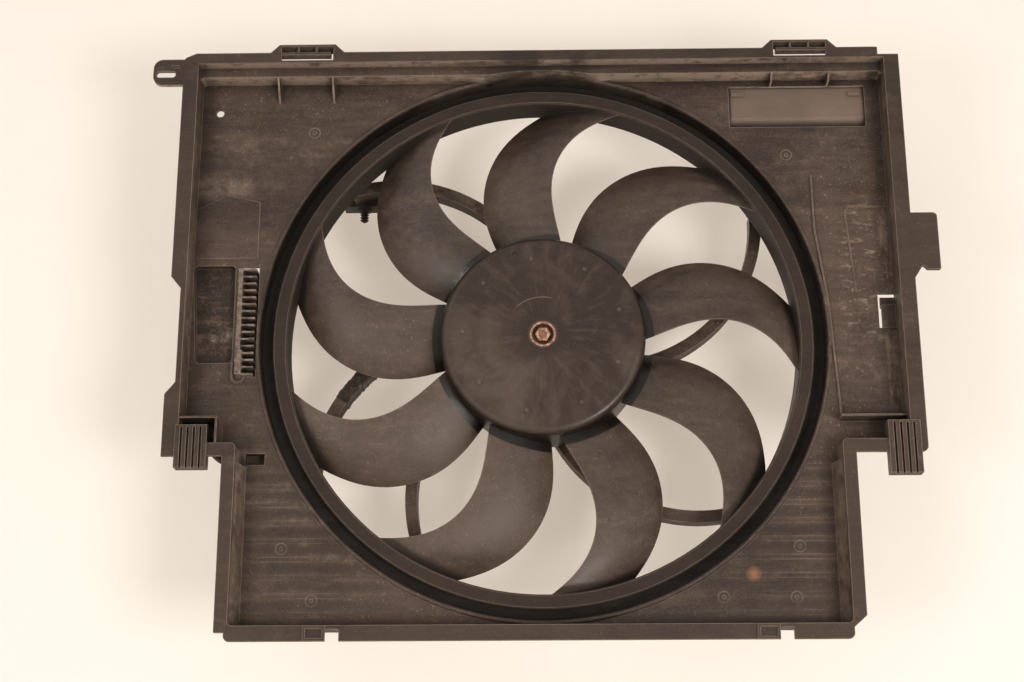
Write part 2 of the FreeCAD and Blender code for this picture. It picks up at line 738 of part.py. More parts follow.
def module_pocket():
    return thicken(pocket_face(WALL), PANEL_DEPTH, PANEL_DEPTH + POCKET_DEPTH + WALL)


def module_pocket_hollow():
    return thicken(pocket_face(0.0), -OVER, PANEL_DEPTH + POCKET_DEPTH)


def sink_window():
    """Opening through the panel beside the aperture for the module's heat sink."""
    return box(
        (-SINK_LEFT - MODULE_SETBACK / 2, -APERTURE - WALL - SINK_WINDOW_GAP / 2),
        (SINK_FRONT - OVER, MODULE_BACK + SINK_WINDOW_GAP),
        (MODULE_BOTTOM - SINK_WINDOW_GAP, MODULE_TOP + SINK_WINDOW_GAP),
    )


def sink_boss():
    """Half-round lip round the lower end of the heat sink."""
    x = -SINK_LEFT + SINK_FOOT[0] / 2
    z = MODULE_BOTTOM - SINK_WINDOW_GAP
    ring = tube(SINK_BOSS_RADIUS, SINK_BOSS_RADIUS - RIB_THICK, PANEL_DEPTH - WALL, PANEL_BACK, x, z)
    above = box((x - APERTURE, x + APERTURE), (0, PANEL_BACK + OVER), (z, z + APERTURE))
    leg = box((x - SINK_BOSS_RADIUS, x - SINK_BOSS_RADIUS + RIB_THICK), (PANEL_DEPTH - WALL, PANEL_BACK),
              (z - OVER, z + 2 * SINK_BOSS_RADIUS))
    return ring.cut(above).fuse(leg)


def module_screw_places():
    x = -SINK_LEFT - MODULE_EAR
    return [(x, MODULE_TOP + MODULE_SCREW_BEYOND), (x, MODULE_BOTTOM - MODULE_SCREW_BEYOND)]


def module_bosses():
    """Two hollow posts behind the panel that the module is screwed to."""
    return [
        tube(MODULE_EAR / 2 - SEAT, SCREW_RADIUS, PANEL_DEPTH, MODULE_BACK - LUG_THICK - MODULE_SETBACK, x, z)
        for x, z in module_screw_places()
    ]


def flap_ears():
    """Two ears behind the panel that hold the flap's hinge rod."""
    ears = []
    left, right = flap_edges()
    for x in (left - FLAP_END_GAP - HINGE_EAR_THICK, right + FLAP_END_GAP):
        block = box(
            (x, x + HINGE_EAR_THICK),
            (PANEL_DEPTH, FLAP_HINGE_Y + FLAP_KNUCKLE),
            (FLAP_HINGE_Z - FLAP_KNUCKLE, FLAP_HINGE_Z + FLAP_KNUCKLE),
        )
        bore = Part.makeCylinder(HINGE_ROD_RADIUS + SEAT / 2, 2 * HINGE_EAR_THICK,
                                 Vector(x - OVER, FLAP_HINGE_Y, FLAP_HINGE_Z), Vector(1, 0, 0))
        ears.append(block.cut(bore))
    return ears


def flap_opening():
    return box(
        (FLAP_LEFT, FLAP_LEFT + FLAP_WIDTH),
        (-OVER, PANEL_BACK + OVER),
        (FLAP_OPENING_TOP - FLAP_OPENING_HEIGHT, FLAP_OPENING_TOP),
    )


def window():
    return box((WINDOW_LEFT, RIGHT_WALL - WALL), (0.0, PANEL_BACK + OVER),
               (WINDOW_BOTTOM, WINDOW_BOTTOM + WINDOW_HEIGHT))


def tongue():
    """Tongue across the window from the side wall: its lower part stands proud and its head is set back."""
    sides = (WINDOW_LEFT + TONGUE_GAP, RIGHT_WALL - WALL / 2)
    low = WINDOW_BOTTOM - OVER
    high = WINDOW_BOTTOM + TONGUE_GAP + TONGUE_HEIGHT
    front = PANEL_DEPTH - WALL
    back = front + TONGUE_STEP
    return [
        box(sides, (front, front + WALL), (low, high)),
        box(sides, (front, back + WALL), (high - WALL, high)),
        box(sides, (back, back + WALL), (high - OVER, high + TONGUE_HEAD)),
    ]


def slot_box(wall):
    """The blind slot low in the left panel, grown by a wall."""
    left = -LOWER_LEFT + SLOT_FROM_EDGE
    front = PANEL_DEPTH if wall else PANEL_DEPTH - OVER
    return box((left - wall, left + SLOT_WIDTH + wall), (front, PANEL_DEPTH + SLOT_DEPTH + wall),
               (SLOT_TOP - SLOT_HEIGHT - wall, SLOT_TOP + wall))


def splayed_wall():
    """Sloping inner face of the side wall, on both sides of the lower part of the tray."""
    wedges = []
    top = SLOT_TOP - SLOT_HEIGHT - RIB_THICK
    for wall, inwards in ((LOW_LEFT_WALL, 1), (LOW_RIGHT_WALL, -1)):
        foot_x = wall + inwards * (WALL + SPLAY)
        start = wall + inwards * WALL / 2
        low = FLOOR_WALL + WALL / 2
        points = [
            Vector(start, SPLAY_FRONT, low), Vector(start, PANEL_DEPTH + WALL / 2, low),
            Vector(foot_x, PANEL_DEPTH + WALL / 2, low), Vector(foot_x, PANEL_DEPTH, low),
        ]
        wedges.append(Part.Face(Part.makePolygon(points + points[:1])).extrude(Vector(0, 0, top - low)))
    return wedges


def ridge(points, height):
    """Raised line on the front of the panel, straight between points."""
    half = RIDGE_WIDTH / 2
    bars = []
    for (x, z), (end_x, end_z) in zip(points, points[1:]):
        long = math.hypot(end_x - x, end_z - z)
        side_x, side_z = half * (end_z - z) / long, -half * (end_x - x) / long
        corners = [
            Vector(x + side_x, 0, z + side_z), Vector(end_x + side_x, 0, end_z + side_z),
            Vector(end_x - side_x, 0, end_z - side_z), Vector(x - side_x, 0, z - side_z),
        ]
        face = Part.Face(Part.makePolygon(corners + corners[:1]))
        bars += [thicken(face, PANEL_DEPTH - height, PANEL_DEPTH + WALL / 2),
                 rod(half, PANEL_DEPTH - height, PANEL_DEPTH + WALL / 2, x, z)]
    return bars


def panel_relief():
    """Raised lines and the shallow pad on the panels at each side of the fan."""
    left, right = LEFT_WALL + WALL, -(APERTURE + FINS_OUTSIDE_APERTURE)
    side, peak, middle = PAD_TOPS
    pad = outline([(left, PAD_BOTTOM), (right, PAD_BOTTOM), (right, middle), (LEFT_WALL + PAD_PEAK_IN, peak),
                   (left, side)], PAD_CORNER)
    step = ridge([(APERTURE + outwards, z) for outwards, z in STEP_LINE], RIDGE_HEIGHT)
    frame_line = ridge([(RIGHT_WALL - inwards, z) for inwards, z in FRAME_LINE], PAD_HEIGHT)
    return [thicken(pad, PANEL_DEPTH - PAD_HEIGHT, PANEL_DEPTH + WALL / 2)] + step + frame_line


def shelf_housings():
    """Ledge and side wall above each foot."""
    left_end = -UPPER_LEFT + FOOT_INSET + FOOT_WIDTH + HOUSING_GAP
    back = PANEL_DEPTH + WALL / 2
    ledge_top = FOOT_TOP + HOUSING_GAP
    ledge = (ledge_top - RIB_THICK, ledge_top)
    return [
        box((LEFT_WALL, left_end), (0.0, back), ledge),
        box((left_end - RIB_THICK, left_end), (0.0, back), (SHELF_WALL, ledge_top)),
        box((LOW_RIGHT_WALL, RIGHT_WALL), (HOUSING_GAP, back), ledge),
    ]


def panel_holes():
    """Everything that is open through the panel, or sunk in it."""
    clip_in, clip_down = CLIP_HOLE_FROM_EDGES
    holes = [
        rod(APERTURE, TOP_STEP_DEPTH, RECESS_BACK), flap_opening(), window(), slot_box(0.0),
        module_pocket_hollow(),
        rod(CLIP_HOLE_RADIUS, PANEL_DEPTH - OVER, PANEL_BACK + OVER, clip_in - UPPER_LEFT, TOP - clip_down),
    ]
    holes += [rod(SCREW_RADIUS, PANEL_BACK + WALL, MODULE_BACK, x, z) for x, z in module_screw_places()]
    return holes


def shroud_frame():
    tray = tray_outside().fuse(thicken(rim_plan(), 0.0, WALL)).cut(tray_inside())
    right_foot = UPPER_RIGHT - FOOT_WIDTH - FOOT_INSET / 2
    feet = ((-UPPER_LEFT + FOOT_INSET, LEFT_FOOT_DROP), (right_foot, RIGHT_FOOT_DROP))
    additions = [ear(), hook(), module_pocket(), slot_box(WALL)] + [foot(*place) for place in feet]
    additions += [bridge(centre) for centre in BRIDGE_CENTRES] + [bottom_stop(left) for left in NOTCH_LEFTS]
    additions += lower_ribs() + flap_ears() + module_bosses() + top_gussets()
    additions += splayed_wall() + panel_relief() + shelf_housings()
    holes = panel_holes() + bridge_slots() + bottom_notches()
    for place in feet:
        holes += foot_grooves(*place)
    body = tray.fuse(additions).cut(holes)
    body = body.fuse(barrel() + barrel_gussets() + tongue()).cut(sink_window())
    return body.fuse(motor_carrier() + [sink_boss()]).removeSplitter()


# ---- Fan ----

def blade_edges(share):
    """Angles of a blade's trailing and leading edges at a share of its height."""
    trailing = TRAILING_START + TRAILING_SWEEP * share ** TRAILING_POWER
    leading = LEADING_START + LEADING_SWEEP * (share - LEADING_TURN) ** 2
    return trailing, leading


def blade_section(share):
    """Closed section of a blade across its height: a thin curved aerofoil with blunt ends."""
    radius = HUB_RADIUS - HUB_WALL * 2 + share * (RING_BORE - HUB_RADIUS + HUB_WALL * 3)
    trailing, leading = blade_edges(share)
    half = math.radians(leading - trailing) / 2 * radius
    front = RING_FRONT + BLADE_SETBACK
    back = front + BLADE_DEPTH
    lead = Vector(half, front, radius)
    trail = Vector(-half, back, radius)
    middle = Vector(0, (front + back) / 2 - BLADE_CAMBER, radius)
    chord = trail.sub(lead).normalize()
    across = Vector(-chord.y, chord.x, 0)
    tip = Vector(across).multiply(BLADE_THICK / 6)
    thick = Vector(across).multiply(BLADE_THICK / 2)
    edges = [
        Part.Arc(lead.add(tip), middle.add(thick), trail.add(tip)).toShape(),
        Part.makeLine(trail.add(tip), trail.sub(tip)),
        Part.Arc(trail.sub(tip), middle.sub(thick), lead.sub(tip)).toShape(),
        Part.makeLine(lead.sub(tip), lead.add(tip)),
    ]
    section = Part.Wire(edges)
    section.rotate(Vector(0, 0, 0), FAN_AXIS, (leading + trailing) / 2)
    return section


def blade():
    """One swept blade, trimmed to run from just inside the hub's wall to just inside the ring's."""
    sections = [blade_section(index / (BLADE_STATIONS - 1)) for index in range(BLADE_STATIONS)]
    body = Part.makeLoft(sections, True, False)
    sleeve = tube(RING_BORE + RING_WALL / 2, HUB_RADIUS - HUB_WALL / 2, HUB_FRONT, RING_BACK + OVER)
    return body.common(sleeve)


def fan_ring():
    """Ring round the blade tips, with a wide lip in front."""
    ease = RING_WALL / 2
    return turned([
        (RING_BORE, RING_FRONT + ease), (RING_BORE + ease, RING_FRONT),
        (RING_RADIUS - ease, RING_FRONT), (RING_RADIUS, RING_FRONT + ease),
        (RING_RADIUS, RING_FRONT + 2 * RING_WALL), (RING_RADIUS - RING_WALL, RING_FRONT + 2 * RING_WALL),
        (RING_RADIUS - RING_WALL, RING_FRONT + RING_WALL), (RING_BORE + RING_WALL, RING_FRONT + RING_WALL),
        (RING_BORE + RING_WALL, RING_BACK), (RING_BORE, RING_BACK),
    ])


def hub_cup():
    """Cup over the motor: a flat front with a rounded edge, and a plain skirt."""
    corner = Vector(HUB_RADIUS - HUB_ROUND, HUB_FRONT + HUB_ROUND, 0)
    inner_round = HUB_ROUND - HUB_WALL
    lean = math.sqrt(0.5)
    points = [
        Vector(SHAFT_RADIUS, NUT_SEAT, 0), Vector(NUT_RECESS_RADIUS, NUT_SEAT, 0),
        Vector(NUT_RECESS_RADIUS, HUB_FRONT, 0), Vector(HUB_RADIUS - HUB_ROUND, HUB_FRONT, 0),
    ]
    edges = [Part.makeLine(*pair) for pair in zip(points, points[1:])]
    skirt_top = Vector(HUB_RADIUS, HUB_FRONT + HUB_ROUND, 0)
    crown = corner.add(Vector(HUB_ROUND * lean, -HUB_ROUND * lean, 0))
    edges.append(Part.Arc(points[-1], crown, skirt_top).toShape())
    inside = [
        skirt_top, Vector(HUB_RADIUS, HUB_BACK, 0), Vector(HUB_RADIUS - HUB_WALL, HUB_BACK, 0),
        Vector(HUB_RADIUS - HUB_WALL, HUB_FRONT + HUB_ROUND, 0),
    ]
    edges += [Part.makeLine(*pair) for pair in zip(inside, inside[1:])]
    inner_crown = corner.add(Vector(inner_round * lean, -inner_round * lean, 0))
    inner_end = Vector(HUB_RADIUS - HUB_ROUND, HUB_FRONT + HUB_WALL, 0)
    edges.append(Part.Arc(inside[-1], inner_crown, inner_end).toShape())
    close = [
        inner_end, Vector(BOSS_RADIUS, HUB_FRONT + HUB_WALL, 0), Vector(BOSS_RADIUS, BOSS_BACK, 0),
        Vector(SHAFT_RADIUS, BOSS_BACK, 0), points[0],
    ]
    edges += [Part.makeLine(*pair) for pair in zip(close, close[1:])]
    return Part.Face(Part.Wire(edges)).revolve(Vector(0, 0, 0), FAN_AXIS, 360)


def hub_ribs():
    """Webs inside the hub, one behind each blade."""
    web = box(
        (-HUB_RIB / 2, HUB_RIB / 2),
        (HUB_FRONT + HUB_WALL / 2, HUB_FRONT + HUB_WALL + HUB_RIB_DEPTH),
        (BOSS_RADIUS - HUB_RIB, HUB_RADIUS - HUB_WALL / 2 - HUB_ROUND / 3),
    )
    return ring_of(web, BLADES, HUB_RIB_ANGLE)


def hub_pips():
    """Low round marks on the face of the hub."""
    pip = rod(PIP_RADIUS, HUB_FRONT - PIP_HEIGHT, HUB_FRONT + HUB_WALL / 2, 0, PIP_CIRCLE)
    return ring_of(pip, BLADES, PIP_ANGLE)


def fan():
    blades = ring_of(blade(), BLADES)
    hub = hub_cup().fuse(hub_ribs() + hub_pips())
    x, z = polar(BALANCE_HOLE_CIRCLE, BALANCE_HOLE_ANGLE)
    hub = hub.cut(rod(BALANCE_HOLE_RADIUS, HUB_FRONT - OVER, HUB_FRONT + HUB_WALL + OVER, x, z))
    return fan_ring().fuse(blades + [hub]).removeSplitter()


def fan_nut():
    """Hexagon nut in a pressed cup washer, sunk in the hub and screwed on the end of the shaft."""
    corner = NUT_ACROSS_FLATS / 2 / math.cos(math.radians(30))
    hexagon = outline([polar(corner, 30.0 + 60.0 * index) for index in range(6)])
    front = HUB_FRONT + NUT_SINK
    floor = NUT_SEAT - CUP_FLOOR
    chamfer = turned([
        (0, front), (NUT_ACROSS_FLATS / 2, front), (corner + OVER, front + OVER), (corner + OVER, floor),
        (0, floor),
    ])
    edge = NUT_RECESS_RADIUS - SEAT
    rim = turned([
        (0, floor), (edge - CUP_WALL, floor), (edge - CUP_WALL, HUB_FRONT),
        (edge - CUP_WALL / 2, HUB_FRONT - CUP_PROUD), (edge, HUB_FRONT), (edge, NUT_SEAT), (0, NUT_SEAT),
    ])
    body = thicken(hexagon, front, floor + OVER).common(chamfer.fuse(rim))
    return rim.fuse(body).cut(rod(STUD_RADIUS, 0, NUT_SEAT + OVER)).removeSplitter()


# ---- Motor ----

def shaft():
    """Shaft with a thinner stud at its front for the nut."""
    back = MOTOR_BACK + END_CAP_THICK + BEARING_LENGTH / 2
    stud = rod(STUD_RADIUS, HUB_FRONT + NUT_SINK + STUD_SINK, NUT_SEAT + OVER)
    return stud.fuse(rod(SHAFT_RADIUS, NUT_SEAT, back))


def motor_can():
    """Drawn steel can, closed in front round the front bearing, with three lugs for its screws."""
    body = rod(MOTOR_RADIUS, MOTOR_FRONT, MOTOR_BACK)
    hollow = rod(MOTOR_RADIUS - MOTOR_WALL, MOTOR_FRONT + MOTOR_WALL, MOTOR_BACK + OVER)
    neck_front = MOTOR_FRONT - MOTOR_FRONT_GAP / 2
    seat = BEARING_RADIUS + BEARING_HOUSING_WALL
    neck = rod(seat, neck_front, neck_front + BEARING_LENGTH + MOTOR_WALL)
    pocket = rod(BEARING_RADIUS + SEAT, neck_front + MOTOR_WALL, MOTOR_BACK)
    bore = rod(SHAFT_RADIUS + 3 * OVER, 0, MOTOR_BACK)
    lug = box((-LUG_WIDTH / 2, LUG_WIDTH / 2), (LUG_FRONT, LUG_FRONT + LUG_THICK),
              (MOTOR_RADIUS - MOTOR_WALL / 2, MOTOR_RADIUS + LUG_REACH))
    hole = rod(SCREW_RADIUS + SCREW_CLEARANCE, LUG_FRONT - OVER, MOTOR_BACK, 0, MOTOR_SCREW_CIRCLE)
    x, z = polar(1.0, LEAD_EXIT_ANGLE)
    exit_hole = Part.makeCylinder(grommet_hole(), MOTOR_RADIUS, at(0, 0, LEAD_Y), Vector(x, 0, z))
    exit_hole = exit_hole.cut(rod(MOTOR_RADIUS / 2, 0, 2 * MOTOR_BACK))
    can = body.cut(hollow).fuse(neck).cut([pocket, bore, exit_hole])
    return can.fuse(ring_of(lug.cut(hole), MOTOR_SCREWS)).removeSplitter()


def front_bearing():
    front = MOTOR_FRONT - MOTOR_FRONT_GAP / 2 + MOTOR_WALL
    return tube(BEARING_RADIUS, SHAFT_RADIUS + RUNNING_FIT, front, front + BEARING_LENGTH)


def rear_bearing():
    return tube(BEARING_RADIUS, SHAFT_RADIUS + RUNNING_FIT, MOTOR_BACK, MOTOR_BACK + BEARING_LENGTH)


def motor_end_cap():
    """Pressed cap behind the can, with a cup round the rear bearing."""
    plate = rod(MOTOR_RADIUS, MOTOR_BACK, MOTOR_BACK + END_CAP_THICK)
    cup = rod(BEARING_RADIUS + BEARING_HOUSING_WALL, MOTOR_BACK, MOTOR_BACK + BEARING_LENGTH + END_CAP_THICK)
    pocket = rod(BEARING_RADIUS + SEAT, MOTOR_BACK - OVER, MOTOR_BACK + BEARING_LENGTH + SEAT)
    return plate.fuse(cup).cut(pocket)


def sector(outer, inner, front, back, span):
    """Part of a tube that spans some degrees either side of straight up."""
    face = outline([(0, 0), polar(2 * outer, -span / 2), polar(3 * outer, 0), polar(2 * outer, span / 2)])
    return tube(outer, inner, front, back).common(thicken(face, front - OVER, back + OVER))


def field_magnets():
    outer = MOTOR_RADIUS - MOTOR_WALL - SEAT
    front = MOTOR_FRONT + MOTOR_WALL + WINDING_OVERHANG
    magnet = sector(outer, outer - MAGNET_THICK, front, front + MAGNET_LENGTH, MAGNET_SPAN)
    return group(ring_of(magnet, MAGNETS, 180.0 / MAGNETS))


def armature_radius():
    return MOTOR_RADIUS - MOTOR_WALL - SEAT - MAGNET_THICK - AIR_GAP


def armature_front():
    return MOTOR_FRONT + MOTOR_WALL + 2 * WINDING_OVERHANG


def armature_core():
    """Stack of iron plates with T-shaped teeth."""
    outer = armature_radius()
    front = armature_front()
    back = front + ARMATURE_LENGTH
    middle = tube(ARMATURE_CORE_RADIUS, SHAFT_RADIUS, front, back)
    half = ARMATURE_TOOTH / 2
    tooth = box((-half, half), (front, back), (ARMATURE_CORE_RADIUS - OVER, outer - OVER))
    tip = sector(outer, outer - ARMATURE_TIP, front, back, 360.0 / ARMATURE_SLOTS - SLOT_MOUTH_ANGLE)
    return fused([middle] + ring_of(tooth, ARMATURE_SLOTS) + ring_of(tip, ARMATURE_SLOTS))


def armature_winding():
    """Wire in the slots, with a ring of end turns at each end."""
    front = armature_front()
    back = front + ARMATURE_LENGTH
    outer = armature_radius() - ARMATURE_TIP - SEAT
    inner = ARMATURE_CORE_RADIUS + SEAT
    end_turns = [
        tube(outer, inner, front - WINDING_OVERHANG, front - SEAT),
        tube(outer, inner, back + SEAT, back + WINDING_OVERHANG),
    ]
    half = ARMATURE_TOOTH / 2 + SEAT
    tooth = box((-half, half), (front - SEAT, back + SEAT), (0, 2 * outer))
    slots = [spun(tooth, index * 360.0 / ARMATURE_SLOTS) for index in range(ARMATURE_SLOTS)]
    coils = tube(outer, inner, front - OVER, back + OVER).cut(slots)
    return coils.fuse(end_turns).removeSplitter()


def commutator():
    front = armature_front() + ARMATURE_LENGTH + WINDING_OVERHANG + SEAT
    barrel_body = tube(COMMUTATOR_RADIUS, SHAFT_RADIUS, front, front + COMMUTATOR_LENGTH)
    half = COMMUTATOR_GROOVE / 2
    groove = box((-half, half), (front - OVER, front + COMMUTATOR_LENGTH + OVER),
                 (COMMUTATOR_RADIUS - OVER, COMMUTATOR_RADIUS + OVER))
    return barrel_body.cut(ring_of(groove, COMMUTATOR_BARS))


def brush_middle():
    return armature_front() + ARMATURE_LENGTH + WINDING_OVERHANG + COMMUTATOR_LENGTH / 2


def brush_plate():
    """Insulating plate behind the brushes, with a box round each brush."""
    front = brush_middle() + BRUSH_DEPTH / 2 + SEAT
    outer = MOTOR_RADIUS - MOTOR_WALL - SEAT
    plate = tube(outer, COMMUTATOR_RADIUS + AIR_GAP, front, front + BRUSH_PLATE_THICK)
    start = COMMUTATOR_RADIUS + 3 * OVER
    holder = box((-BRUSH_WIDTH / 2 - OVER, BRUSH_WIDTH / 2 + OVER),
                 (front - BRUSH_DEPTH - OVER - SEAT, front), (start, outer - OVER))
    channel = box((-BRUSH_WIDTH / 2 - SEAT, BRUSH_WIDTH / 2 + SEAT), (front - BRUSH_DEPTH - SEAT, front),
                  (start - OVER, outer - 2 * OVER))
    return plate.fuse(ring_of(holder.cut(channel), BRUSHES, 180.0 / BRUSHES))


def brushes():
    start = COMMUTATOR_RADIUS + RUNNING_FIT
    middle = brush_middle()
    block = box((-BRUSH_WIDTH / 2, BRUSH_WIDTH / 2), (middle - BRUSH_DEPTH / 2, middle + BRUSH_DEPTH / 2),
                (0, start + BRUSH_LENGTH))
    block = block.cut(rod(start, 0, MOTOR_BACK))
    return group(ring_of(block, BRUSHES, 180.0 / BRUSHES))


def brush_springs():
    """Spring behind each brush, as a plain sleeve of the coil's size."""
    start = COMMUTATOR_RADIUS + RUNNING_FIT + BRUSH_LENGTH
    end = MOTOR_RADIUS - MOTOR_WALL - SEAT - 2 * OVER
    radius = BRUSH_DEPTH / 2 - 2 * SEAT
    coil = Part.makeCylinder(radius, end - start, Vector(0, brush_middle(), start), Vector(0, 0, 1))
    core = Part.makeCylinder(radius - 1.2, end - start, Vector(0, brush_middle(), start), Vector(0, 0, 1))
    return group(ring_of(coil.cut(core), BRUSHES, 180.0 / BRUSHES))


def screw(x, z, seat, tip):
    """Screw driven in from behind: its head sits at the seat and its tip points forward."""
    shank = rod(SCREW_RADIUS - SEAT, tip, seat + SEAT, x, z)
    return shank.fuse(rod(SCREW_HEAD_RADIUS, seat, seat + SCREW_HEAD_HEIGHT, x, z))


def motor_screws():
    tip = STRUT_FRONT - MOTOR_SCREW_BOSS_DEPTH
    return group(ring_of(screw(0, MOTOR_SCREW_CIRCLE, LUG_FRONT + LUG_THICK, tip), MOTOR_SCREWS))


# ---- Fan speed module ----

def heat_sink():
    """Finned bar in the window beside the aperture, with a foot in front of its lower end."""
    left = -SINK_LEFT
    base = box((left, SINK_FACE), (SINK_FRONT, MODULE_BACK), (MODULE_BOTTOM, MODULE_TOP))
    pitch = (MODULE_HEIGHT - FIN_THICK) / (SINK_FINS - 1)
    fins = [
        box((SINK_FACE - OVER, -APERTURE - FINS_OUTSIDE_APERTURE), (SINK_FRONT + OVER, MODULE_BACK),
            (MODULE_BOTTOM + index * pitch, MODULE_BOTTOM + index * pitch + FIN_THICK))
        for index in range(SINK_FINS)
    ]
    foot_width, foot_height = SINK_FOOT
    sink_foot = box((left, left + foot_width), (SINK_FRONT - SINK_FOOT_PROUD, SINK_FRONT + SINK_BASE),
                    (MODULE_BOTTOM, MODULE_BOTTOM + foot_height))
    return fused([base, sink_foot] + fins)


def module_box(inset):
    return box(
        (LEFT_WALL + inset, -SINK_LEFT - (SEAT if not inset else -OVER)),
        (MODULE_FRONT + inset, MODULE_BACK - inset),
        (MODULE_BOTTOM + inset, MODULE_TOP - inset),
    )


def socket_place():
    """Middle of the module's two sockets: one opens down and one up."""
    x = LEFT_WALL + SOCKET_WIDTH / 2 + MODULE_WALL
    y = MODULE_BACK - SOCKET_DEPTH / 2
    return x, y


def socket_block(inset, upward, reach):
    """Block on a socket's axis, running out from the end of the module."""
    x, y = socket_place()
    wide = SOCKET_WIDTH / 2 - inset
    deep = SOCKET_DEPTH / 2 - inset
    below = (MODULE_BOTTOM - reach, MODULE_BOTTOM + OVER)
    ends = (MODULE_TOP - OVER, MODULE_TOP + reach) if upward else below
    return box((x - wide, x + wide), (y - deep, y + deep), ends)


def module_housing():
    """Plastic tub that closes against the heat sink, with an ear at each end and a socket beyond each."""
    tub = module_box(0.0)
    ears = []
    for x, z in module_screw_places():
        half = MODULE_EAR / 2
        reach = (MODULE_TOP - OVER, z + half) if z > 0 else (z - half, MODULE_BOTTOM + OVER)
        ear_plate = box((x - half, x + half), (MODULE_BACK - LUG_THICK, MODULE_BACK), reach)
        ears.append(ear_plate.cut(rod(SCREW_RADIUS + SCREW_CLEARANCE, 0, MODULE_BACK + OVER, x, z)))
    sockets = [socket_block(0.0, upward, SOCKET_LENGTH) for upward in (False, True)]
    hollows = []
    for upward in (False, True):
        hollow = socket_block(SOCKET_WALL, upward, SOCKET_LENGTH + OVER)
        hollows.append(hollow.cut(module_box(0.0)))
    return tub.fuse(ears + sockets).cut([module_box(MODULE_WALL)] + hollows).removeSplitter()


def module_plugs():
    """Plug in each of the module's sockets, with a tail that its lead comes out of."""
    plugs = []
    x, y = socket_place()
    for upward in (False, True):
        body = socket_block(SOCKET_WALL + PLUG_CLEARANCE, upward, SOCKET_LENGTH).cut(module_box(-SEAT))
        edge = MODULE_TOP + SOCKET_LENGTH if upward else MODULE_BOTTOM - SOCKET_LENGTH
        out = 1 if upward else -1
        tail = Part.makeCylinder(LEAD_RADIUS + 2 * SOCKET_WALL, PLUG_TAIL, at(x, edge, y), Vector(0, 0, out))
        plugs.append(body.fuse(tail).removeSplitter())
    return group(plugs)


def module_board():
    x = -SINK_LEFT - 3 * MODULE_WALL
    return box((x - BOARD_THICK, x), (MODULE_FRONT + MODULE_WALL + SEAT, MODULE_BACK - MODULE_WALL - SEAT),
               (MODULE_BOTTOM + MODULE_WALL + SEAT, MODULE_TOP - MODULE_WALL - SEAT))


def module_screws():
    return group([
        screw(x, z, MODULE_BACK, PANEL_BACK + WALL) for x, z in module_screw_places()
    ])


# ---- Ram air flap ----

def flap_edges():
    return FLAP_LEFT - FLAP_OVERLAP, FLAP_LEFT + FLAP_WIDTH + FLAP_OVERLAP


def ram_air_flap():
    """Flap that hangs behind its opening from a knuckle along its top, its lower lip leaning back."""
    left, right = flap_edges()
    bottom = FLAP_OPENING_TOP - FLAP_OPENING_HEIGHT - FLAP_OVERLAP
    back = FLAP_HINGE_Y
    front = back - FLAP_THICK
    lean = math.tan(math.radians(FLAP_LIP_LEAN)) * FLAP_LIP
    corners = [
        (front, FLAP_HINGE_Z), (front, bottom + FLAP_LIP), (front + lean, bottom),
        (back + lean, bottom), (back, bottom + FLAP_LIP), (back, FLAP_HINGE_Z),
    ]
    points = [Vector(left, y, z) for y, z in corners]
    leaf = Part.Face(Part.makePolygon(points + points[:1])).extrude(Vector(right - left, 0, 0))
    hinge = Vector(left, FLAP_HINGE_Y, FLAP_HINGE_Z)
    knuckle = Part.makeCylinder(FLAP_KNUCKLE, right - left, hinge, Vector(1, 0, 0))
    bore = Part.makeCylinder(HINGE_ROD_RADIUS + RUNNING_FIT, right - left, hinge, Vector(1, 0, 0))
    claw_wide, claw_tall = FLAP_CLAW
    claw_top = FLAP_OPENING_TOP - claw_tall
    claws = [
        box((x, x + claw_wide), (front - FLAP_CLAW_PROUD, front + FLAP_THICK / 2),
            (claw_top - claw_tall, claw_top))
        for x in (left + claw_tall, right - claw_tall - claw_wide)
    ]
    return leaf.fuse([knuckle] + claws).cut(bore).removeSplitter()


def flap_hinge_rod():
    left, right = flap_edges()
    beyond = FLAP_END_GAP + HINGE_EAR_THICK + OVER
    return Part.makeCylinder(HINGE_ROD_RADIUS, right - left + 2 * beyond,
                             Vector(left - beyond, FLAP_HINGE_Y, FLAP_HINGE_Z), Vector(1, 0, 0))


# ---- Leads ----

def lead_turns(turns, strut_angle):
    return [
        at(*polar(BARREL + beyond, strut_angle + round_by), LEAD_Y - inwards)
        for beyond, round_by, inwards in turns
    ]


def motor_lead_route():
    """From the motor along the wrapped strut, over the barrel's edge and up into the module's lower plug."""
    x, y = socket_place()
    start = at(*polar(MOTOR_RADIUS - MOTOR_WALL / 2, LEAD_EXIT_ANGLE), LEAD_Y)
    straight = at(*polar(MOTOR_RADIUS + LEAD_STRAIGHT, LEAD_EXIT_ANGLE), LEAD_Y)
    end = MODULE_BOTTOM - SOCKET_LENGTH - PLUG_TAIL
    shares = [strut_share(WRAPPED_STRUT_ANGLE, (share, share))[0] for share in LEAD_STRUT_SHARES]
    on_strut = [at(*place, LEAD_Y) for place in shares]
    past_barrel = lead_turns(MOTOR_LEAD_TURNS, WRAPPED_STRUT_ANGLE)
    return [start, straight] + on_strut + past_barrel + [Vector(x, y, end - LEAD_RISE), Vector(x, y, end)]


def supply_lead_route():
    """From the module's upper plug, behind the panel's upper left corner, to the supply connector."""
    x, y = socket_place()
    start = MODULE_TOP + SOCKET_LENGTH + PLUG_TAIL
    left, bottom = connector_place()
    end_y = CONNECTOR_FRONT + CONNECTOR_SIZE[1] / 2
    end_z = bottom + CONNECTOR_SIZE[2] / 2
    turns = lead_turns(SUPPLY_LEAD_TURNS, SUPPLY_STRUT_ANGLE)
    return [Vector(x, y, start), Vector(x, y, start + LEAD_RISE)] + turns + [
        Vector(left - LEAD_RISE, end_y, end_z), Vector(left, end_y, end_z)]


